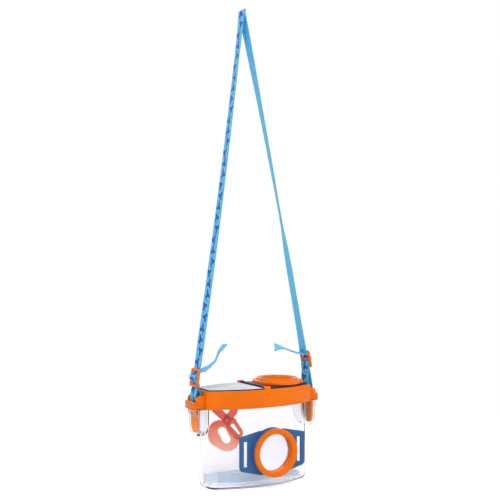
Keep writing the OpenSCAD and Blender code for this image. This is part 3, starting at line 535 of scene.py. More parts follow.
def block(bm, corner, opposite, round_edge=0.0, segments=2):
    """A block between two opposite corners, with its edges rounded."""
    made = bmesh.ops.create_cube(bm, size=1.0)["verts"]
    low, high = zip(*(sorted(pair) for pair in zip(corner, opposite)))
    for vert in made:
        vert.co = Vector([low[i] + (vert.co[i] + 0.5) * (high[i] - low[i]) for i in range(3)])
    if round_edge:
        edges = list({edge for vert in made for edge in vert.link_edges})
        bmesh.ops.bevel(bm, geom=edges, affect="EDGES", offset=round_edge, segments=segments, profile=0.5,
                        material=-1)


def block_object(name, *sides):
    bm = bmesh.new()
    block(bm, *sides)
    return as_object(bm, name)


def turned(bm, profile, place, axis, steps=96, close=True):
    """Spins an outline of (radius, distance along the axis) round the axis."""
    place, axis = Vector(place), Vector(axis)
    side = axis.orthogonal().normalized()
    line = polyline(bm, [place + side * radius + axis * along for radius, along in profile])
    if close:
        bm.edges.new((line[-1], line[0]))
    edges = list({edge for vert in line for edge in vert.link_edges})
    bmesh.ops.spin(bm, geom=line + edges, cent=place, axis=axis, dvec=(0, 0, 0), angle=2 * math.pi, steps=steps,
                   use_merge=True)


def turned_object(name, *turning, limit=35, **options):
    bm = bmesh.new()
    turned(bm, *turning, **options)
    return as_object(bm, name, limit)


def tube(inner, outer, start, end, edge):
    """The outline of a tube with rounded edges, for turned."""
    return rounded([(inner, start), (outer, start), (outer, end), (inner, end)], edge)


def shift_new(bm, old, degrees, axis, place, mirror=1):
    """Turns what was drawn since old was listed, mirrors it if asked, and moves it."""
    matrix = Matrix.Diagonal((mirror, 1, 1, 1)) @ Matrix.Rotation(math.radians(degrees), 4, axis)
    new = [vert for vert in bm.verts if vert not in old]
    bmesh.ops.transform(bm, matrix=Matrix.Translation(place) @ matrix, verts=new)


def grow(bm, verts, line, places):
    """Draws a line of edges on to new places, and returns the new line."""
    made = bmesh.ops.extrude_edge_only(bm, edges=line)["geom"]
    new = set(only(made, BMVert))
    verts = [next(e.other_vert(v) for e in v.link_edges if e.other_vert(v) in new) for v in verts]
    for vert, place in zip(verts, places):
        vert.co = place
    return verts, [e for e in only(made, BMEdge) if e.verts[0] in new and e.verts[1] in new]


def thicken(bm, faces, move):
    """Grows a flat region into a solid, and returns the solid's faces."""
    made = only(bmesh.ops.extrude_face_region(bm, geom=faces, use_keep_orig=True)["geom"], BMVert)
    bmesh.ops.translate(bm, verts=made, vec=move)
    return list({face for vert in made for face in vert.link_faces} | set(faces))


def cut_off(bm, x, way):
    """Cuts away what lies beyond x on one side, and closes the cut."""
    geom = list(bm.verts) + list(bm.edges) + list(bm.faces)
    cut = bmesh.ops.bisect_plane(bm, geom=geom, plane_co=(x, 0, 0), plane_no=(way, 0, 0), clear_outer=True)
    bmesh.ops.holes_fill(bm, edges=[e for e in only(cut["geom_cut"], BMEdge) if e.is_valid])


def drop_line(bm, radius, low, top, x):
    """A line down one side, round the bottom and up the other side, across the jar's end."""
    before = set(bm.edges)
    down = polyline(bm, [(x, -radius, top), (x, -radius, low + radius)])
    last = arc_to(bm, down[-1], (x, 0, low + radius), (1, 0, 0), math.pi, 20)
    line_to(bm, last, (x, radius, top))
    return list(set(bm.edges) - before)


class Plan:
    """Plan of the jar: two bows, and two flat ends with rounded corners."""

    def __init__(self):
        s = sizes("jar_lid")
        self.half = s.rim_length / 2
        self.bow_r = (self.half ** 2 + s.rim_bulge ** 2) / (2 * s.rim_bulge)
        self.bow_y = self.bow_r - s.rim_depth / 2
        self.corner = s.rim_corner

    def depth(self, off, x):
        """Half the plan's depth at a distance from the middle."""
        return math.sqrt((self.bow_r + off) ** 2 - x ** 2) - self.bow_y

    def corner_centre(self, corner):
        x = self.half - corner
        return x, math.sqrt((self.bow_r - corner) ** 2 - x ** 2) - self.bow_y

    def column_reach(self, off, x):
        """How far a column across the jar runs before it meets the plan's outline."""
        cx, cy = self.corner_centre(self.corner)
        over, radius = abs(x) - cx, self.corner + off
        if over < 0 or radius <= 0:
            return self.depth(off, x)
        return min(self.depth(off, x), cy + math.sqrt(max(radius ** 2 - over ** 2, 0)))

    def row_reach(self, off, y):
        """How far a row along the jar runs before it meets the plan's outline."""
        bow = math.sqrt(max((self.bow_r + off) ** 2 - (abs(y) + self.bow_y) ** 2, 0))
        return min(bow, self.half + off)

    def ring(self, bm, off, z, corner, bow_steps=56, corner_steps=7):
        """The outline at one height: its vertices in a fixed order, and its edges."""
        cx, cy = self.corner_centre(corner)
        reach, up = math.atan2(cx, cy + self.bow_y), (0, 0, 1)
        old_edges = set(bm.edges)
        first = last = bm.verts.new((cx + corner + off, cy, z))
        for side in (1, -1):
            last = arc_to(bm, last, (side * cx, side * cy, z), up, math.pi / 2 - reach, corner_steps)
            last = arc_to(bm, last, (0, -side * self.bow_y, z), up, 2 * reach, bow_steps)
            last = arc_to(bm, last, (-side * cx, side * cy, z), up, math.pi / 2 - reach, corner_steps)
            if side > 0:
                last = line_to(bm, last, (-cx - corner - off, -cy, z))
        closing = bm.edges.new((last, first))
        made, verts = [e for e in bm.edges if e not in old_edges], [first]
        edge = next(e for e in first.link_edges if e is not closing)
        while len(verts) < len(made):
            verts.append(edge.other_vert(verts[-1]))
            edge = next(e for e in verts[-1].link_edges if e is not edge)
        return verts, made

    def sweep(self, bm, section, corner, closed=True):
        """A wall whose section is (distance out from the rim line, height), grown ring by ring. A section that
        isn't closed is capped at both ends."""
        off, z = section[0]
        start, first_line = self.ring(bm, off, z, corner(off))
        verts, line = start, first_line
        for off, z in section[1:] + (section[:1] if closed else []):
            spare = bmesh.new()
            places = [v.co.copy() for v in self.ring(spare, off, z, corner(off))[0]]
            spare.free()
            verts, line = grow(bm, verts, line, places)
        if closed:
            bmesh.ops.remove_doubles(bm, verts=start + verts, dist=1e-7)
        else:
            for ring in (first_line, line):
                bmesh.ops.contextual_create(bm, geom=ring)


def sharp_corner(off):
    """The rim's own corner, kept round its centre until it is nearly sharp, and then moved in."""
    return max(sizes("jar_lid").rim_corner, 0.0005 - off)


# Container
class JAR_OT_container(bpy.types.Operator):
    """Builds the clear container with its latch frames, spigot and guide ribs"""
    bl_idname = "jar.container"
    bl_label = "Container"

    def execute(self, context):
        c, plan = sizes("jar_container"), Plan()
        top, out, inner = high_of("jar").z, -c.inset, -c.inset - c.wall
        foot, fillet, lip = c.foot, c.foot - c.wall, c.wall * 0.28
        lip_mid, hollow = lip * 0.3, 0.0004  # the floor stands on a narrow edge
        section = [(out - foot - 0.0015, hollow), (out - foot - 0.0005, 0)]
        section += [(out - foot + foot * math.sin(a) - c.draft * math.cos(a), foot - foot * math.cos(a))
                    for a in quarter(6)]
        section += [(out, top - lip), (out - lip_mid, top - lip_mid), (out - lip, top), (inner + lip, top),
                    (inner + lip_mid, top - lip_mid), (inner, top - lip)]
        section += [(inner - fillet + fillet * math.cos(a) - c.draft, c.floor + fillet - fillet * math.sin(a))
                    for a in quarter(5)]
        bm = bmesh.new()
        plan.sweep(bm, section, lambda off: c.corner, closed=False)
        shell = as_object(bm, "container")
        parts = latch_frame(-1) + latch_frame(1) + [spigot(c, plan), guide_rib(-1, c, plan), guide_rib(1, c, plan)]
        combine(shell, parts, "UNION")
        dress(shell, "jar", "container", clear_plastic("clear moulded polystyrene", c.tint))
        return {"FINISHED"}


def latch_frame(side):
    """A latch frame: a round-bottomed border, and a bridge across its top."""
    c, node = sizes("jar_container"), "latch_right" if side > 0 else "latch_left"
    gap, wall, bridge_t, bridge_h, edge = 0.0012, 0.003, 0.002, 0.007, 0.0007
    inner, low, top = spread(node, 1) + gap, low_of(node).z - gap, high_of(node).z - 0.0003
    start = Plan().half - c.inset - c.wall * 0.6
    bridge = high_of("jar").x - bridge_t
    bm = bmesh.new()
    edges = drop_line(bm, inner + wall, low - wall, top, start) + drop_line(bm, inner, low, top, start)
    thicken(bm, bmesh.ops.bridge_loops(bm, edges=edges)["faces"], (bridge + 0.0006 - start, 0, 0))
    round_edges(bm, edge, 3, keep=lambda e: min(v.co.x for v in e.verts) > start + 0.001)
    across = bmesh.new()
    block(across, (bridge, -inner - wall, top - bridge_h), (bridge + bridge_t, inner + wall, top), edge, 3)
    for part in (bm, across):
        bmesh.ops.scale(part, vec=(side, 1, 1), verts=part.verts)
    return [as_object(bm, "latch frame"), as_object(across, "latch bridge")]


def spigot(c, plan):
    """The round collar on the front wall that carries the holder; its back end follows the wall's bow."""
    place = middle_of("front_lens")
    wall_y = -plan.depth(-c.inset, 0)
    front, back = wall_y - c.spigot_length, wall_y + c.wall
    bm = bmesh.new()
    profile = [(c.spigot_radius, -back), (c.spigot_radius, -front), (c.spigot_radius - c.spigot_wall, -front),
               (c.spigot_radius - c.spigot_wall, -back)]
    turned(bm, rounded(profile, 0.0005), (place.x, 0, place.z), (0, -1, 0))
    for vert in bm.verts:
        if vert.co.y > (front + back) / 2:
            vert.co.y = -plan.depth(-c.inset - c.wall / 2, vert.co.x)
    bmesh.ops.remove_doubles(bm, verts=bm.verts, dist=1e-5)
    return as_object(bm, "spigot")


def guide_rib(side, c, plan):
    """One of the two ribs inside the rear wall."""
    middle, gap, width, depth, below_top = 0.0045, 0.0056, 0.0011, 0.0018, 0.006
    x = middle + side * gap / 2
    y = plan.depth(-c.inset - c.wall, x)
    return block_object("guide rib", (x - width / 2, y - depth, c.foot),
                        (x + width / 2, y + c.wall * 0.5, high_of("jar").z - c.foot - below_top), 0.0003)


# Lid
RIM_TOP = 0.1125
LEDGE_TOP = RIM_TOP - 0.0022  # the ledge carries the tray
NET_EDGE = -0.0051  # how far the net's and the flap's outline stands out from the rim line


class JAR_OT_rim(bpy.types.Operator):
    """Builds the orange rim with its ledge, strap pockets and hinge blocks"""
    bl_idname = "jar.rim"
    bl_label = "Rim"

    def execute(self, context):
        s, plan = sizes("jar_lid"), Plan()
        base, high = low_of("rim_band").z, high_of("rim_band")
        wall, ledge_in, ledge_t = -s.rim_wall, -0.008, 0.002
        bead, bead_out, bead_in = 0.0011, 0.0006, -0.0004
        bm = bmesh.new()
        plan.sweep(bm, rounded([
            (0, base), (0, RIM_TOP), (wall, RIM_TOP), (wall, LEDGE_TOP), (ledge_in, LEDGE_TOP),
            (ledge_in, LEDGE_TOP - ledge_t), (wall, LEDGE_TOP - ledge_t), (wall, base)], 0.0006), sharp_corner)
        # a raised line along the lower edge
        plan.sweep(bm, rounded([(bead_in, base), (bead_out, base), (bead_out, base + bead),
                                (bead_in, base + bead)], 0.0003), sharp_corner)
        half = high_of("strap_pin_right").y + 0.0001  # the cheeks stand proud of the pins
        for side in (-1, 1):
            strap_pocket(bm, side, plan, base, high.x, half)
            cheek_ridges(bm, side, plan, base, -half)
            hinge_block(bm, side, plan, high.z)
        dress(as_object(bm, "lid_rim"), "rim_band", "lid", orange())
        return {"FINISHED"}


def strap_pocket(bm, side, plan, base, out, half):
    """An open pocket at the rim's end: a floor, an outer wall and two round-topped cheeks."""
    cheek, cheek_out, cheek_h = 0.0029, 0.0105, 0.0155
    wall_h, floor, wall = 0.0087, 0.0018, 0.003
    start, far, radius = side * (plan.half - 0.0012), side * (plan.half + cheek_out), cheek_out / 2
    shoulder = base + cheek_h - radius
    block(bm, (start, -half, base), (side * out, half, base + floor), 0.0006)
    block(bm, (side * (out - wall), -half, base), (side * out, half, base + wall_h), 0.0009)
    for way in (-1, 1):
        y = way * (half - cheek / 2) - cheek / 2
        line = polyline(bm, [(start, y, base), (far, y, base), (far, y, shoulder)])
        last = arc_to(bm, line[-1], (side * (plan.half + radius), y, shoulder), (0, -side, 0), math.pi / 2, 8)
        bm.edges.new((line_to(bm, last, (start, y, base + cheek_h)), line[0]))
        face = bmesh.ops.contextual_create(bm, geom=[e for e in bm.edges if e.is_wire])["faces"]
        solid = thicken(bm, face, (0, cheek, 0))
        round_edges(bm, 0.0006, faces=solid, keep=lambda e: abs(e.verts[0].co.x) > plan.half)


def cheek_ridges(bm, side, plan, base, front):
    """Two slanted ridges that meet in a V on the face of the front cheek."""
    for x, tilt in ((0.0035, 28), (0.0078, -28)):
        old = set(bm.verts)
        block(bm, (-0.0027, -0.0006, -0.0007), (0.0027, 0.0004, 0.0007), 0.0003)
        shift_new(bm, old, tilt, "Y", (side * (plan.half + x), front, base + 0.0056), mirror=side)


def hinge_block(bm, side, plan, top):
    """A block that holds one end of the flap's hinge rod."""
    half, depth, inset, edge = 0.004, 0.0043, 0.00025, plan.depth(0, 0)
    block(bm, (-half, side * (edge - depth), LEDGE_TOP), (half, side * (edge - inset), top), 0.0011, 3)


def hinge_barrel():
    """Radius of the hinge's barrel, which starts at the flap's underside, of its bore, and its axis's height."""
    axis_z = joint_place("flap_open").z
    return axis_z - low_of("flap").z, spread("hinge_rod", 0) + 0.0001, axis_z


FLAP_BARREL = 0.022  # half the length of the flap's own barrel


class JAR_OT_tray(bpy.types.Operator):
    """Builds the navy tray with its two openings, plug wall, hinge knuckles and the clip for the tongs"""
    bl_idname = "jar.tray"
    bl_label = "Lid tray"

    def execute(self, context):
        plan, base = Plan(), LEDGE_TOP
        top, lip, plug = base + 0.002, base + 0.0033, base - 0.006
        edge, lip_in, plug_out, open_edge = -0.0032, -0.0048, -0.0083, -0.0102
        middle = plan.depth(0, 0)
        bm = bmesh.new()
        plan.sweep(bm, rounded([(edge, base), (edge, lip), (lip_in, lip), (lip_in, top), (open_edge, top),
                                (open_edge, plug), (plug_out, plug), (plug_out, base)], 0.0004, 2), sharp_corner)
        tray = as_object(bm, "lid_tray_piece")
        divider, reach = 0.0045, plan.depth(open_edge, 0) + 0.001
        combine(tray, [block_object("divider", (-divider, -reach, plug), (divider, reach, top), 0.0005)], "UNION")
        # notches for the rim's hinge blocks
        combine(tray, [block_object("notch", (-0.0043, side * (middle - 0.0049), base - 0.0005),
                                    (0.0043, side * plan.depth(0.01, 0), lip + 0.001)) for side in (-1, 1)],
                "DIFFERENCE")
        radius, bore, axis_z = hinge_barrel()
        near, far = FLAP_BARREL + 0.0003, middle - 0.0046

        def fittings(bm):
            for side in (-1, 1):
                turned(bm, tube(bore, radius, near, far, 0.0003), (0, 0, axis_z), (0, side, 0), steps=40)
                block(bm, (-radius, side * near, base), (radius, side * far, axis_z), 0.0003)
            tongs_clip(bm, plan, base, top)
            bmesh.ops.recalc_face_normals(bm, faces=bm.faces)

        redraw(tray, fittings)
        dress(tray, "lid_tray", "lid", navy())
        return {"FINISHED"}


def tongs_clip(bm, plan, base, top):
    """The rib under the net and the clip on it that grips the tongs."""
    pin, turn = middle_of("tongs_pin"), math.radians(28.7)
    across, normal = Vector((math.cos(turn), -math.sin(turn), 0)), Vector((-math.sin(turn), -math.cos(turn), 0))
    far, off, half, grip, wall, low = 0.0215, 0.0019, 0.004, 0.00175, 0.0016, 0.096
    place = Vector((pin.x, pin.y, 0)) + across * far + normal * off
    old = set(bm.verts)
    for side in (-1, 1):
        block(bm, (-half, side * grip, low), (half, side * (grip + wall), top), 0.0005)
    block(bm, (-half, -grip - wall, base - 0.002), (half, grip + wall, top), 0.0004)
    shift_new(bm, old, -math.degrees(turn), "Z", place)
    x, reach = pin.x + far * math.cos(turn) - 0.0017, plan.depth(-0.0092, place.x)
    block(bm, (x - half, -reach, base - 0.002), (x + half, reach, top), 0.0004)


class JAR_OT_net(bpy.types.Operator):
    """Weaves the vent net and its border"""
    bl_idname = "jar.net"
    bl_label = "Vent net"

    def execute(self, context):
        s, plan = sizes("jar_lid"), Plan()
        low, high = low_of("vent_net").z, high_of("vent_net").z
        border, start, thread, pitch = 0.0016, -0.0035, s.net_thread, s.net_pitch
        middle, inner = (low + high) / 2, NET_EDGE - border / 2
        bm = bmesh.new()
        section = [(NET_EDGE, low), (NET_EDGE, high), (NET_EDGE - border, high), (NET_EDGE - border, low)]
        plan.sweep(bm, rounded(section, 0.0004, 2), sharp_corner)
        cut_off(bm, start, 1)
        reach = plan.depth(NET_EDGE, start) - 0.0004
        block(bm, (start - border, -reach, low), (start, reach, high), 0.0004)
        x = start - border - pitch * 0.6
        while x > -(plan.half + inner):
            y = plan.column_reach(inner, x)
            block(bm, (x - thread / 2, -y, middle - thread * 0.1), (x + thread / 2, y, middle + thread * 0.5),
                  thread * 0.2, 1)
            x -= pitch
        y = -plan.depth(inner, 0) + pitch
        while y < plan.depth(inner, 0):
            block(bm, (-plan.row_reach(inner, y), y - thread / 2, middle - thread * 0.5),
                  (start - border / 2, y + thread / 2, middle + thread * 0.1), thread * 0.2, 1)
            y += pitch
        dress(as_object(bm, "vent_net_piece"), "vent_net", "lid",
              moulded_plastic("white moulded polyethylene net", s.net_colour, rough=0.5, grain=0.5))
        return {"FINISHED"}


class JAR_OT_flap(bpy.types.Operator):
    """Builds the hinged flap with the magnifier's hole"""
    bl_idname = "jar.flap"
    bl_label = "Flap"

    def execute(self, context):
        radius, bore, axis_z = hinge_barrel()
        thick, half, start, low = 0.0018, FLAP_BARREL, radius + 0.001, axis_z - radius
        bm = bmesh.new()
        Plan().sweep(bm, [(NET_EDGE, low), (NET_EDGE, low + thick)], sharp_corner, closed=False)
        cut_off(bm, start, -1)
        flap = as_object(bm, "flap_piece")
        hole_r, hole_h = spread("lid_lens", 0) + 0.0019, 0.004
        hole = turned_object("hole", [(0, -hole_h), (hole_r, -hole_h), (hole_r, hole_h), (0, hole_h)],
                             (middle_of("lid_lens").x, 0, low), (0, 0, 1), close=False)
        combine(flap, [block_object("tab", (0.0006, -half, low), (start + 0.001, half, low + thick))], "UNION")
        combine(flap, [hole], "DIFFERENCE")
        soften(flap, 0.0004)
        barrel = tube(bore, radius, -half, half, 0.0003)
        redraw(flap, lambda bm: turned(bm, barrel, (0, 0, axis_z), (0, 1, 0), steps=40))
        dress(flap, "flap", "magnifier_flap", navy())
        return {"FINISHED"}


# Magnifiers
class JAR_OT_magnifiers(bpy.types.Operator):
    """Turns the two magnifiers' rings, lenses and lens retainers"""
    bl_idname = "jar.magnifiers"
    bl_label = "Magnifiers"

    def execute(self, context):
        glass = clear_plastic("clear moulded acrylic lens", sizes("jar_magnifiers").lens_colour, ior=1.49,
                              rough=0.01, wave_depth=0.00001)
        magnifier("lid", Vector((0, 0, 1)), glass)
        magnifier("front", Vector((0, -1, 0)), glass)
        return {"FINISHED"}


def magnifier(name, up, glass):
    """One magnifier, turned round its lens's axis. Heights run along up, from the back of its flange."""
    lid, body = name == "lid", name + "_magnifier"
    middle, glass_r = middle_of(name + "_lens"), spread(name + "_lens", 0)
    edge_t, flange = 0.0016, 0.004
    face = flange + 0.0023 if lid else flange  # the lid's ring rises above its flange
    radius = spread(name + "_ring", 1) if lid else spread(name + "_ring", 0) - 0.0009  # the collar shows round it
    top_r = radius - (0.0046 if lid else 0.0012)
    base = joint_place(name + "_magnifier_twist").dot(up) + (0.0002 if lid else 0.0003)
    axis = Vector((middle.x, 0, 0 if lid else middle.z))
    place = axis + up * base
    seat = middle.dot(up) + edge_t / 2 + 0.00005 - base
    barrel, barrel_low = glass_r + 0.0016, min(corner.dot(up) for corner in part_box(name + "_ring")) - base
    view, seat_r = glass_r - 0.0023, glass_r + 0.00015
    profile = [(view + 0.0012, face), (top_r, face)] + ([(top_r + 0.0004, flange)] if lid else [])
    profile += [(radius, flange), (radius, 0), (barrel, 0), (barrel, barrel_low), (seat_r, barrel_low),
                (seat_r, seat), (view, seat), (view, flange * 0.5)]
    bm = bmesh.new()
    turned(bm, rounded(profile, 0.0009), place, up, steps=128)
    # a fine step near the view, where the two mould halves meet
    turned(bm, rounded([(top_r - 0.0012, face - 0.0004), (top_r - 0.0006, face + 0.0003),
                        (top_r - 0.0018, face + 0.0003)], 0.0002, 2), place, up, steps=128)
    if lid:
        ring_grip(bm, radius, base, flange, axis)
    dress(as_object(bm, name + "_loupe_ring"), name + "_ring", body, orange())
    # lens: two low domes over a flat rim
    bulge = (abs((high_of(name + "_lens") - low_of(name + "_lens")).dot(up)) - edge_t) / 2
    ball = (view ** 2 + bulge ** 2) / (2 * bulge)
    dome = [(ball * math.sin(a), edge_t / 2 + bulge - ball + ball * math.cos(a))
            for a in [math.asin(view / ball) * k / 12 for k in range(13)]]
    line = dome + [(glass_r, edge_t / 2), (glass_r, -edge_t / 2)] + [(r, -a) for r, a in reversed(dome)]
    lens = turned_object(name + "_loupe_lens", line, axis + up * middle.dot(up), up, close=False, limit=20)
    dress(lens, name + "_lens", body, glass)
    retainer_t = 0.0015
    low = seat - edge_t - 0.0001 - retainer_t
    retainer = turned_object(name + "_loupe_retainer", tube(view, seat_r - 0.00005, low, low + retainer_t, 0.0003),
                             place, up)
    dress(retainer, name + "_lens_retainer", body, orange())


def ring_grip(bm, radius, base, flange, axis):
    """The ribbed grip at the edge of the lid magnifier's ring."""
    old = set(bm.verts)
    block(bm, (radius - 0.001, -0.0045, base), (radius + 0.002, 0.0045, base + flange), 0.0009)
    for k in (-1, 0, 1):
        block(bm, (radius - 0.003, k * 0.0024 - 0.0005, base + flange - 0.0004),
              (radius + 0.0016, k * 0.0024 + 0.0005, base + flange + 0.0005), 0.0003)
    shift_new(bm, old, -38, "Z", axis)


COLLAR_R, COLLAR_IN = 0.0276, 0.0253  # outer and inner radius of the front holder's collar


class JAR_OT_holder(bpy.types.Operator):
    """Builds the blue front holder: a flat plate round its collar, with two band slots"""
    bl_idname = "jar.holder"
    bl_label = "Front holder"

    def execute(self, context):
        place = middle_of("front_lens")
        front, rear = -low_of("loupe_holder").y, Plan().depth(0, 0) - 0.0024
        profile = [(COLLAR_IN, rear), (COLLAR_R, rear), (COLLAR_R, front), (COLLAR_IN, front)]
        holder = turned_object("front_holder_piece", rounded(profile, 0.0005), (place.x, 0, place.z), (0, -1, 0))
        combine(holder, [wing(-1), wing(1)], "UNION")
        dress(holder, "loupe_holder", "front_holder",
              moulded_plastic("blue moulded ABS", sizes("jar_magnifiers").holder_colour, rough=0.38))
        return {"FINISHED"}


def wing(side):
    """One side of the holder's plate: a sheet grown column by column, from its turned end to the collar.
    Widths are measured from the collar's middle, and heights from its axis."""
    half, place = spread("loupe_holder", 0), middle_of("front_lens")
    thick, end_h, full_h, corner, lip = 0.0026, 0.0195, 0.025, 0.006, 0.0024
    slot, slot_w, slot_h = half - 0.0082, 0.0052, 0.0145
    front, collar_mid, taper = -Plan().depth(0, 0) - 0.0015, (COLLAR_R + COLLAR_IN) / 2, COLLAR_R * 0.6

    def rise(x, start):
        """The plate's edge rises from its end to the collar."""
        return end_h + (full_h - end_h) * min(1, (start - x) / (start - taper))

    def heights_at(x, back):
        """Heights of a column's points from the lower edge to the upper one, with the slot's ends among them."""
        if back:
            low, high = end_h - corner * 0.9, end_h
        else:
            over = 1 - (half - x) / corner
            low = rise(x, half - corner) if over < 0 else end_h - corner * (1 - math.sqrt(1 - over ** 2))
            high = rise(x, half)
        heights = [-low, -low * 0.75, -low * 0.45, 0, high * 0.45, high * 0.75, high * 0.9, high]
        if abs(x - slot) < slot_w:
            heights[1], heights[5], heights[6] = -slot_h, slot_h, (slot_h + high) / 2
        return heights

    columns = [(half - 0.0009, lip), (half, lip * 0.5), (half, 0.0012)]  # the end is turned back to the wall
    columns += [(half - corner * (1 - math.cos(math.radians(a))), 0) for a in (20, 40, 60, 75)]
    columns += [(x, 0) for x in (slot + slot_w / 2, slot, slot - slot_w / 2, 0.030, COLLAR_R, 0.0245, 0.021, 0.019,
                                 taper, 0.013, 0.0085)]
    bm, verts = bmesh.new(), None
    for x, back in columns:
        points = []
        for z in heights_at(x, back):
            inside = math.sqrt(max(collar_mid ** 2 - z ** 2, 0))
            points.append(Vector((place.x + side * max(x, inside), front + thick / 2 + back, place.z + z)))
        if verts:
            verts, line = grow(bm, verts, line, points)
        else:
            verts, line = polyline(bm, points), list(bm.edges)
    gone = [f for f in bm.faces if abs(f.calc_center_median().z - place.z) < slot_h * 0.99
            and abs(abs(f.calc_center_median().x - place.x) - slot) < slot_w * 0.45]
    bmesh.ops.delete(bm, geom=gone, context="FACES")
    bmesh.ops.remove_doubles(bm, verts=bm.verts, dist=5e-5)
    bmesh.ops.recalc_face_normals(bm, faces=bm.faces)
    bmesh.ops.solidify(bm, geom=list(bm.faces), thickness=thick)
    bmesh.ops.translate(bm, verts=bm.verts, vec=(0, front - min(v.co.y for v in bm.verts), 0))
    round_edges(bm, 0.0005, sharper=math.radians(50))
    return as_object(bm, "wing")


class JAR_OT_latches(bpy.types.Operator):
    """Builds the two press latches with a raised border and grip ribs"""
    bl_idname = "jar.latches"
    bl_label = "Latches"

    def execute(self, context):
        # painted light: the tongues are the rim's orange painted lighter, standing in for light showing through them
        pale = moulded_plastic("orange moulded ABS painted lighter", sizes("jar_lid").latch_painted_light_colour, rough=0.26)
        border, slope, recess, rib_pitch, rib_h, rib_out = 0.0016, 0.0003, 0.0005, 0.0021, 0.0009, 0.0007
        for side, name in ((-1, "left"), (1, "right")):
            low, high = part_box("latch_" + name)
            inner, outer = sorted((abs(low.x), abs(high.x)))
            half = (high.y - low.y) / 2
            bm = bmesh.new()
            edges = drop_line(bm, half, low.z, high.z, inner)
            edges.append(bm.edges.new([v for v in bm.verts if len(v.link_edges) == 1]))
            thicken(bm, bmesh.ops.contextual_create(bm, geom=edges)["faces"], (outer - inner, 0, 0))
            bmesh.ops.recalc_face_normals(bm, faces=bm.faces)
            front = [f for f in bm.faces if f.normal.x > 0.9]
            bmesh.ops.inset_region(bm, faces=front, thickness=border, depth=0)
            bmesh.ops.inset_region(bm, faces=front, thickness=slope, depth=-recess)
            round_edges(bm, 0.00022, sharper=math.radians(50))
            for k in range(5):
                z = low.z + half * 0.75 + k * rib_pitch
                block(bm, (outer - rib_out, -half * 0.55, z), (outer, half * 0.55, z + rib_h), 0.0003)
            bmesh.ops.scale(bm, vec=(side, 1, 1), verts=bm.verts)
            dress(as_object(bm, name + "_latch_tongue"), "latch_" + name, name + "_latch", pale)
        return {"FINISHED"}


# Strap
BUCKLE_H, MID_BAR = 0.021, 0.0026


class Strap:
    """The webbing's way on one side, the same as the frame's."""
    weave_out, layer_step, fold, top_x, slot_far = 0.00165, 0.0015, 0.005, 0.0155, 0.0074

    def __init__(self, side):
        self.side, self.thick = side, sizes("jar_strap").thickness
        name = "right" if side > 0 else "left"
        buckle, pin = middle_of("buckle_" + name), middle_of("strap_pin_right")
        self.x, self.z, self.pin = abs(buckle.x), buckle.z, (pin.x, pin.z)
        self.top = high_of("strap_%s_leg" % name).z
        self.lean = math.atan((self.x + side * self.top_x) / (self.top - self.z))
        self.weave = [(1, 0), (1, MID_BAR / 2 + self.thick / 3), (-1, self.slot_far - self.thick / 3),
                      (-1, BUCKLE_H / 2 + self.thick)]

    def from_buckle(self, out, up):
        """A place given out from and up along the leaning buckle."""
        c, s = math.cos(self.lean), math.sin(self.lean)
        return Vector((self.side * (self.x + out * c - up * s), 0, self.z + up * c + out * s))

    def through(self, layer, way):
        """The way over the buckle's middle bar, for the inner or the outer layer."""
        return [self.from_buckle(self.weave_out + (1 - layer) * self.layer_step if k > 0
                                 else -self.weave_out - layer * self.layer_step, way * up)
                for k, up in self.weave]

    def leg(self, turns, steps=16, bow=0.002):
        """From the buckle up to the fold, turned about itself by a table of (share of the height, degrees)."""
        low = self.from_buckle(-self.weave_out, BUCKLE_H / 2 + self.thick)
        high = Vector((-self.top_x + self.side * self.thick / 2, 0, self.top - self.fold))
        path = self.through(0, 1)
        path += [low.lerp(high, k / steps) + Vector((bow * math.sin(math.pi * k / steps), 0, 0))
                 for k in range(steps + 1)]
        path.append(high + Vector((0, 0, self.fold)))
        bearings = [math.radians(lookup((p.z - self.z) / (self.top - self.z), turns)) for p in path]
        return path, [Vector((math.sin(a), math.cos(a), 0)) for a in bearings]

    def end(self, tail):
        """From the buckle round the pin, back through the buckle and out as the tail."""
        loop_r = spread("strap_pin_right", 0) + 0.0003 + self.thick / 2
        loop_spread = loop_r + 0.9 * self.thick
        side, (px, pz) = self.side, self.pin
        path = self.through(0, -1)
        path.append(Vector((side * (px + loop_spread), 0, pz + loop_spread * 3)))
        path += [Vector((side * (px + loop_r * math.cos(a)), 0, pz - loop_r * math.sin(a)))
                 for a in [math.radians(15 * k) for k in range(13)]]
        path.append(Vector((side * (px - loop_spread), 0, pz + loop_spread * 3)))
        path += list(reversed(self.through(1, -1))) + self.through(1, 1)[1:3]
        half = sizes("jar_lid").rim_length / 2
        dirs = [Vector((0, 1, 0)) for _ in path] + [Vector(across) for _, across in tail]
        return path + [Vector((side * (half - x), y, z)) for (x, y, z), _ in tail], dirs


def lookup(share, table):
    """A value between the pairs of a table."""
    for (x0, y0), (x1, y1) in zip(table, table[1:]):
        if share <= x1:
            return y0 + (y1 - y0) * max(0.0, share - x0) / (x1 - x0)
    return table[-1][1]


def smooth_path(path, dirs, step):
    """The same way with more points, on a curve through all of them."""
    out, outs = [], []
    for i in range(len(path) - 1):
        a, b, c, d = path[max(i - 1, 0)], path[i], path[i + 1], path[min(i + 2, len(path) - 1)]
        count = max(1, round((c - b).length / step))
        pull = 0.5 * (c - b).length
        start, finish = (c - a).normalized() * pull, (d - b).normalized() * pull
        for k in range(count):
            t = k / count
            out.append(b * (2 * t ** 3 - 3 * t ** 2 + 1) + start * (t ** 3 - 2 * t ** 2 + t)
                       + c * (3 * t ** 2 - 2 * t ** 3) + finish * (t ** 3 - t ** 2))
            outs.append(dirs[i].normalized().lerp(dirs[i + 1].normalized(), t))
    return out + [path[-1]], outs + [dirs[-1]]


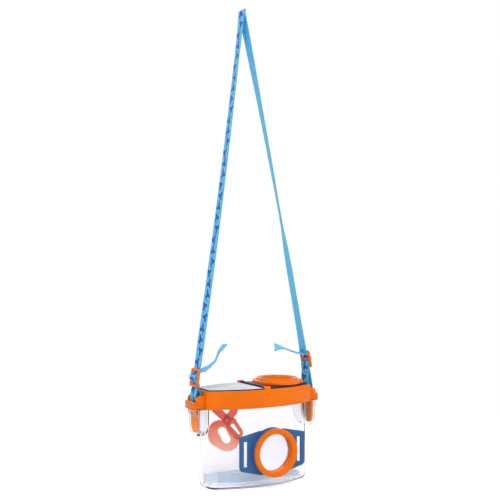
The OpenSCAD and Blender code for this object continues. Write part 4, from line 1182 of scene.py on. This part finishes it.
def webbing_piece(node, way, printed_side, start=0.0, cut=0.0, step=0.002):
    """Webbing along a way: an edge drawn out step by step, then given its thickness, one face printed. The print
    begins at a distance start, and cut slants the free end."""
    s = sizes("jar_strap")
    points, turns = smooth_path(*way, step)
    lanes = [lane * s.width / 2 for lane in (-1, -0.93, -0.5, 0, 0.5, 0.93, 1)]
    bm, verts, run, uvs, last = bmesh.new(), None, start, {}, len(points) - 1
    layer = bm.loops.layers.uv.new("webbing")
    for i, point in enumerate(points):
        along = (points[min(i + 1, last)] - points[max(i - 1, 0)]).normalized()
        across = (turns[i] - along * turns[i].dot(along)).normalized()
        row = [point + across * lane for lane in lanes]
        if verts:
            stride = point - points[i - 1]
            run += stride.length
            if i == last:
                row = [place + stride.normalized() * cut * lane for place, lane in zip(row, lanes)]
            verts, line = grow(bm, verts, line, row)
        else:
            verts, line, facing = polyline(bm, row), list(bm.edges), along.cross(across) * printed_side
        uvs.update(zip(verts, [(run, lane) for lane in lanes]))
    for face in bm.faces:
        for loop in face.loops:
            loop[layer].uv = uvs[loop.vert]
    bm.faces.ensure_lookup_table()
    bm.normal_update()
    if bm.faces[0].normal.dot(facing) < 0:
        bmesh.ops.reverse_faces(bm, faces=bm.faces)
    thing = link(node + "_piece", as_mesh(bm, node + "_piece"))
    for name, printed in (("printed woven polyester webbing", True),
                          ("plain back of the woven polyester webbing", False)):
        thing.data.materials.append(woven_webbing(name, s.ground, s.motif, s.repeat, printed))
    tool = thing.modifiers.new("thickness", "SOLIDIFY")
    tool.thickness, tool.offset = s.thickness, 0
    tool.material_offset, tool.material_offset_rim = 1, 1
    attach(settle(thing, 50), node, "lid")


# Turn of each leg by share of its height, and places and directions across of each tail, from the rim's end
LEFT_TURNS = [(0, 0), (0.08, -4), (0.5, 3), (0.9, 8), (0.98, 0), (1, 0)]
RIGHT_TURNS = [(0, 0), (0.03, 0), (0.08, 5), (0.3, 8), (0.4, 26), (0.55, 20), (0.72, 15), (0.9, 3), (0.98, 0),
               (1, 0)]
LEFT_TAIL = [((0.0024, 0, 0.1346), (0, 1, 0.05)), ((0.012, 0, 0.1395), (0.3, 0.95, 0)),
             ((0.0195, 0, 0.1455), (0.42, 0.9, 0)), ((0.024, 0, 0.1545), (0.38, 0.92, 0.08)),
             ((0.032, 0, 0.1635), (0.3, 0.93, 0.15))]
RIGHT_TAIL = [((0.0045, 0, 0.148), (0, 1, 0.1)), ((0.008, 0.0008, 0.1486), (0, 1, 0.05)),
              ((0.009, 0.0055, 0.1493), (0.7, 0.7, -0.1)), ((0.008, 0.0115, 0.1502), (0.96, 0.2, -0.2)),
              ((0.0095, 0.0175, 0.1512), (0.94, 0.3, -0.22)), ((0.013, 0.0245, 0.1524), (0.88, 0.47, -0.1)),
              ((0.0175, 0.030, 0.1534), (0.78, 0.55, 0.25)), ((0.021, 0.033, 0.1538), (0.65, 0.55, 0.5))]


class JAR_OT_strap(bpy.types.Operator):
    """Lays the webbing: two legs up to the fold, and two ends round the pins and out as tails"""
    bl_idname = "jar.strap"
    bl_label = "Strap"

    def execute(self, context):
        for side, name, turns, tail, start, cut in ((-1, "left", LEFT_TURNS, LEFT_TAIL, 0.0, 0.0),
                                                    (1, "right", RIGHT_TURNS, RIGHT_TAIL, 0.006, 0.35)):
            strap = Strap(side)
            webbing_piece("strap_%s_leg" % name, strap.leg(turns), -side, start, step=0.003)
            webbing_piece("strap_%s_end" % name, strap.end(tail), side, start + 0.004, cut, step=0.0012)
        return {"FINISHED"}


class JAR_OT_buckles(bpy.types.Operator):
    """Builds the two slide buckles: rounded frames with a middle bar"""
    bl_idname = "jar.buckles"
    bl_label = "Buckles"

    def execute(self, context):
        half, height, bar, mid, thick = 0.011, BUCKLE_H / 2, 0.0031, MID_BAR / 2, 0.002
        slot = (sizes("jar_strap").width + 0.001) / 2
        ys, tiny = [-half, -slot, slot, half], 1e-6
        zs = [-height, -height + bar, -mid, mid, height - bar, height]
        for side, name in ((-1, "left"), (1, "right")):
            strap, bm = Strap(side), bmesh.new()
            verts = polyline(bm, [(0, y, zs[0]) for y in ys])
            line = list(bm.edges)
            for z in zs[1:]:
                verts, line = grow(bm, verts, line, [(0, y, z) for y in ys])
            middles = [(f, f.calc_center_median()) for f in bm.faces]
            gone = [f for f, middle in middles if abs(middle.y) < slot / 2 and mid < abs(middle.z) < height - bar]
            bmesh.ops.delete(bm, geom=gone, context="FACES")
            corners = [v for v in bm.verts if abs(v.co.y) > half - tiny and abs(v.co.z) > height - tiny]
            bmesh.ops.bevel(bm, geom=corners, affect="VERTICES", offset=0.0042, segments=6, profile=0.5, material=-1)
            thicken(bm, list(bm.faces), (thick, 0, 0))
            bmesh.ops.translate(bm, verts=bm.verts, vec=(-thick / 2, 0, 0))
            round_edges(bm, 0.0006, 3, sharper=math.radians(40))
            turn = Matrix.Rotation(-side * strap.lean, 4, "Y")
            bmesh.ops.transform(bm, matrix=Matrix.Translation((side * strap.x, 0, strap.z)) @ turn, verts=bm.verts)
            dress(as_object(bm, name + "_slide_buckle"), "buckle_" + name, "lid", orange())
        return {"FINISHED"}


class JAR_OT_tools(bpy.types.Operator):
    """Finishes the tongs, the tweezers and the pins"""
    bl_idname = "jar.tools"
    bl_label = "Tongs, tweezers and pins"

    def execute(self, context):
        t = sizes("jar_tools")
        red = translucent_plastic("translucent red moulded polypropylene", t.tongs_colour, t.loop_colour,
                                  low_of("tongs_front_half").z, middle_of("tongs_pin").z, rough=0.22)
        pale = translucent_plastic("translucent blue moulded polypropylene", t.tweezers_colour, t.tweezers_colour,
                                   0, 0.02, rough=0.3)
        for node in ("tongs_front_half", "tongs_rear_half"):
            softened(node, red, 0.0009)
        for node in ("tweezers_root", "tweezers_front_arm", "tweezers_rear_arm"):
            softened(node, pale, 0.0004)
        carry("tongs_pin", red)
        carry("hinge_rod", drawn_steel("zinc-plated drawn steel", t.steel_colour))
        carry("strap_pin_left", orange())
        carry("strap_pin_right", orange())
        return {"FINISHED"}


# Stage
class JAR_OT_stage(bpy.types.Operator):
    """Sets the camera, the lamps, the world and a pale floor"""
    bl_idname = "jar.stage"
    bl_label = "Stage"

    def execute(self, context):
        s, scene, target = sizes("jar_stage"), context.scene, Vector((0, 0, 0.1))
        scene.view_settings.view_transform = "Standard"
        camera = link("camera", bpy.data.cameras.new("camera"))
        camera.data.lens, camera.data.sensor_width = s.lens, 36
        camera.data.clip_start, camera.data.clip_end = 0.05, 50
        camera.location = (-0.4813, -0.8696, 0.2454)
        camera.rotation_euler = (math.radians(90) + s.tilt, 0, -s.heading)
        scene.camera = camera
        for name, power, place, size in (("key lamp", s.key, (-0.55, -0.75, 1.15), 0.9),
                                         ("fill lamp", s.fill, (0.9, -0.5, 0.7), 0.9),
                                         ("rear lamp", s.fill, (0.2, 0.95, 0.9), 0.8)):
            lamp = link(name, bpy.data.lights.new(name, "AREA"))
            lamp.data.energy, lamp.data.shape, lamp.data.size = power, "DISK", size
            lamp.location = place
            lamp.rotation_euler = (target - Vector(place)).to_track_quat("-Z", "Y").to_euler()
        bm = bmesh.new()
        bmesh.ops.create_grid(bm, x_segments=1, y_segments=1, size=6)
        floor = link("floor", as_mesh(bm, "floor"))
        floor.data.materials.append(studio_sweep("white studio sweep"))
        scene.world = scene.world or bpy.data.worlds.new("world")
        scene.world.use_nodes = True
        tree = scene.world.node_tree
        tree.nodes.clear()
        seen = seen_by(tree, "Is Camera Ray", "Is Transmission Ray", "Is Glossy Ray")
        even, white = [add(tree, "Background", {"Color": WHITE, "Strength": strength}) for strength in (s.world, 1.0)]
        add(tree, "OutputWorld", {"Surface": add(tree, "MixShader", {0: seen, 1: even, 2: white})})
        return {"FINISHED"}


# Panel and start
STEPS = ("stage", "container", "rim", "tray", "net", "flap", "magnifiers", "holder", "latches", "strap", "buckles",
         "tools")


class JAR_PT_panel(bpy.types.Panel):
    """The jar's sizes, colours and pieces"""
    bl_label = "Bug catcher jar"
    bl_idname = "JAR_PT_panel"
    bl_space_type = "VIEW_3D"
    bl_region_type = "UI"
    bl_category = "Bug jar"

    def draw(self, context):
        for name, group in GROUPS.items():
            box = self.layout.box()
            box.label(text=name.replace("jar_", "").capitalize())
            for key in group.__annotations__:
                box.prop(getattr(context.scene, name), key)
        for step in STEPS:
            self.layout.operator("jar." + step)


OPERATORS = (JAR_OT_stage, JAR_OT_container, JAR_OT_rim, JAR_OT_tray, JAR_OT_net, JAR_OT_flap, JAR_OT_magnifiers,
             JAR_OT_holder, JAR_OT_latches, JAR_OT_strap, JAR_OT_buckles, JAR_OT_tools)


def register():
    for kind in (*GROUPS.values(), *OPERATORS, JAR_PT_panel):
        bpy.utils.register_class(kind)
    for name, group in GROUPS.items():
        setattr(bpy.types.Scene, name, bpy.props.PointerProperty(type=group))


def unregister():
    for name in GROUPS:
        delattr(bpy.types.Scene, name)
    for kind in (JAR_PT_panel, *reversed(OPERATORS), *reversed(GROUPS.values())):
        bpy.utils.unregister_class(kind)


def main():
    register()
    for step in STEPS:
        getattr(bpy.ops.jar, step)()


if __name__ == "__main__":
    main()
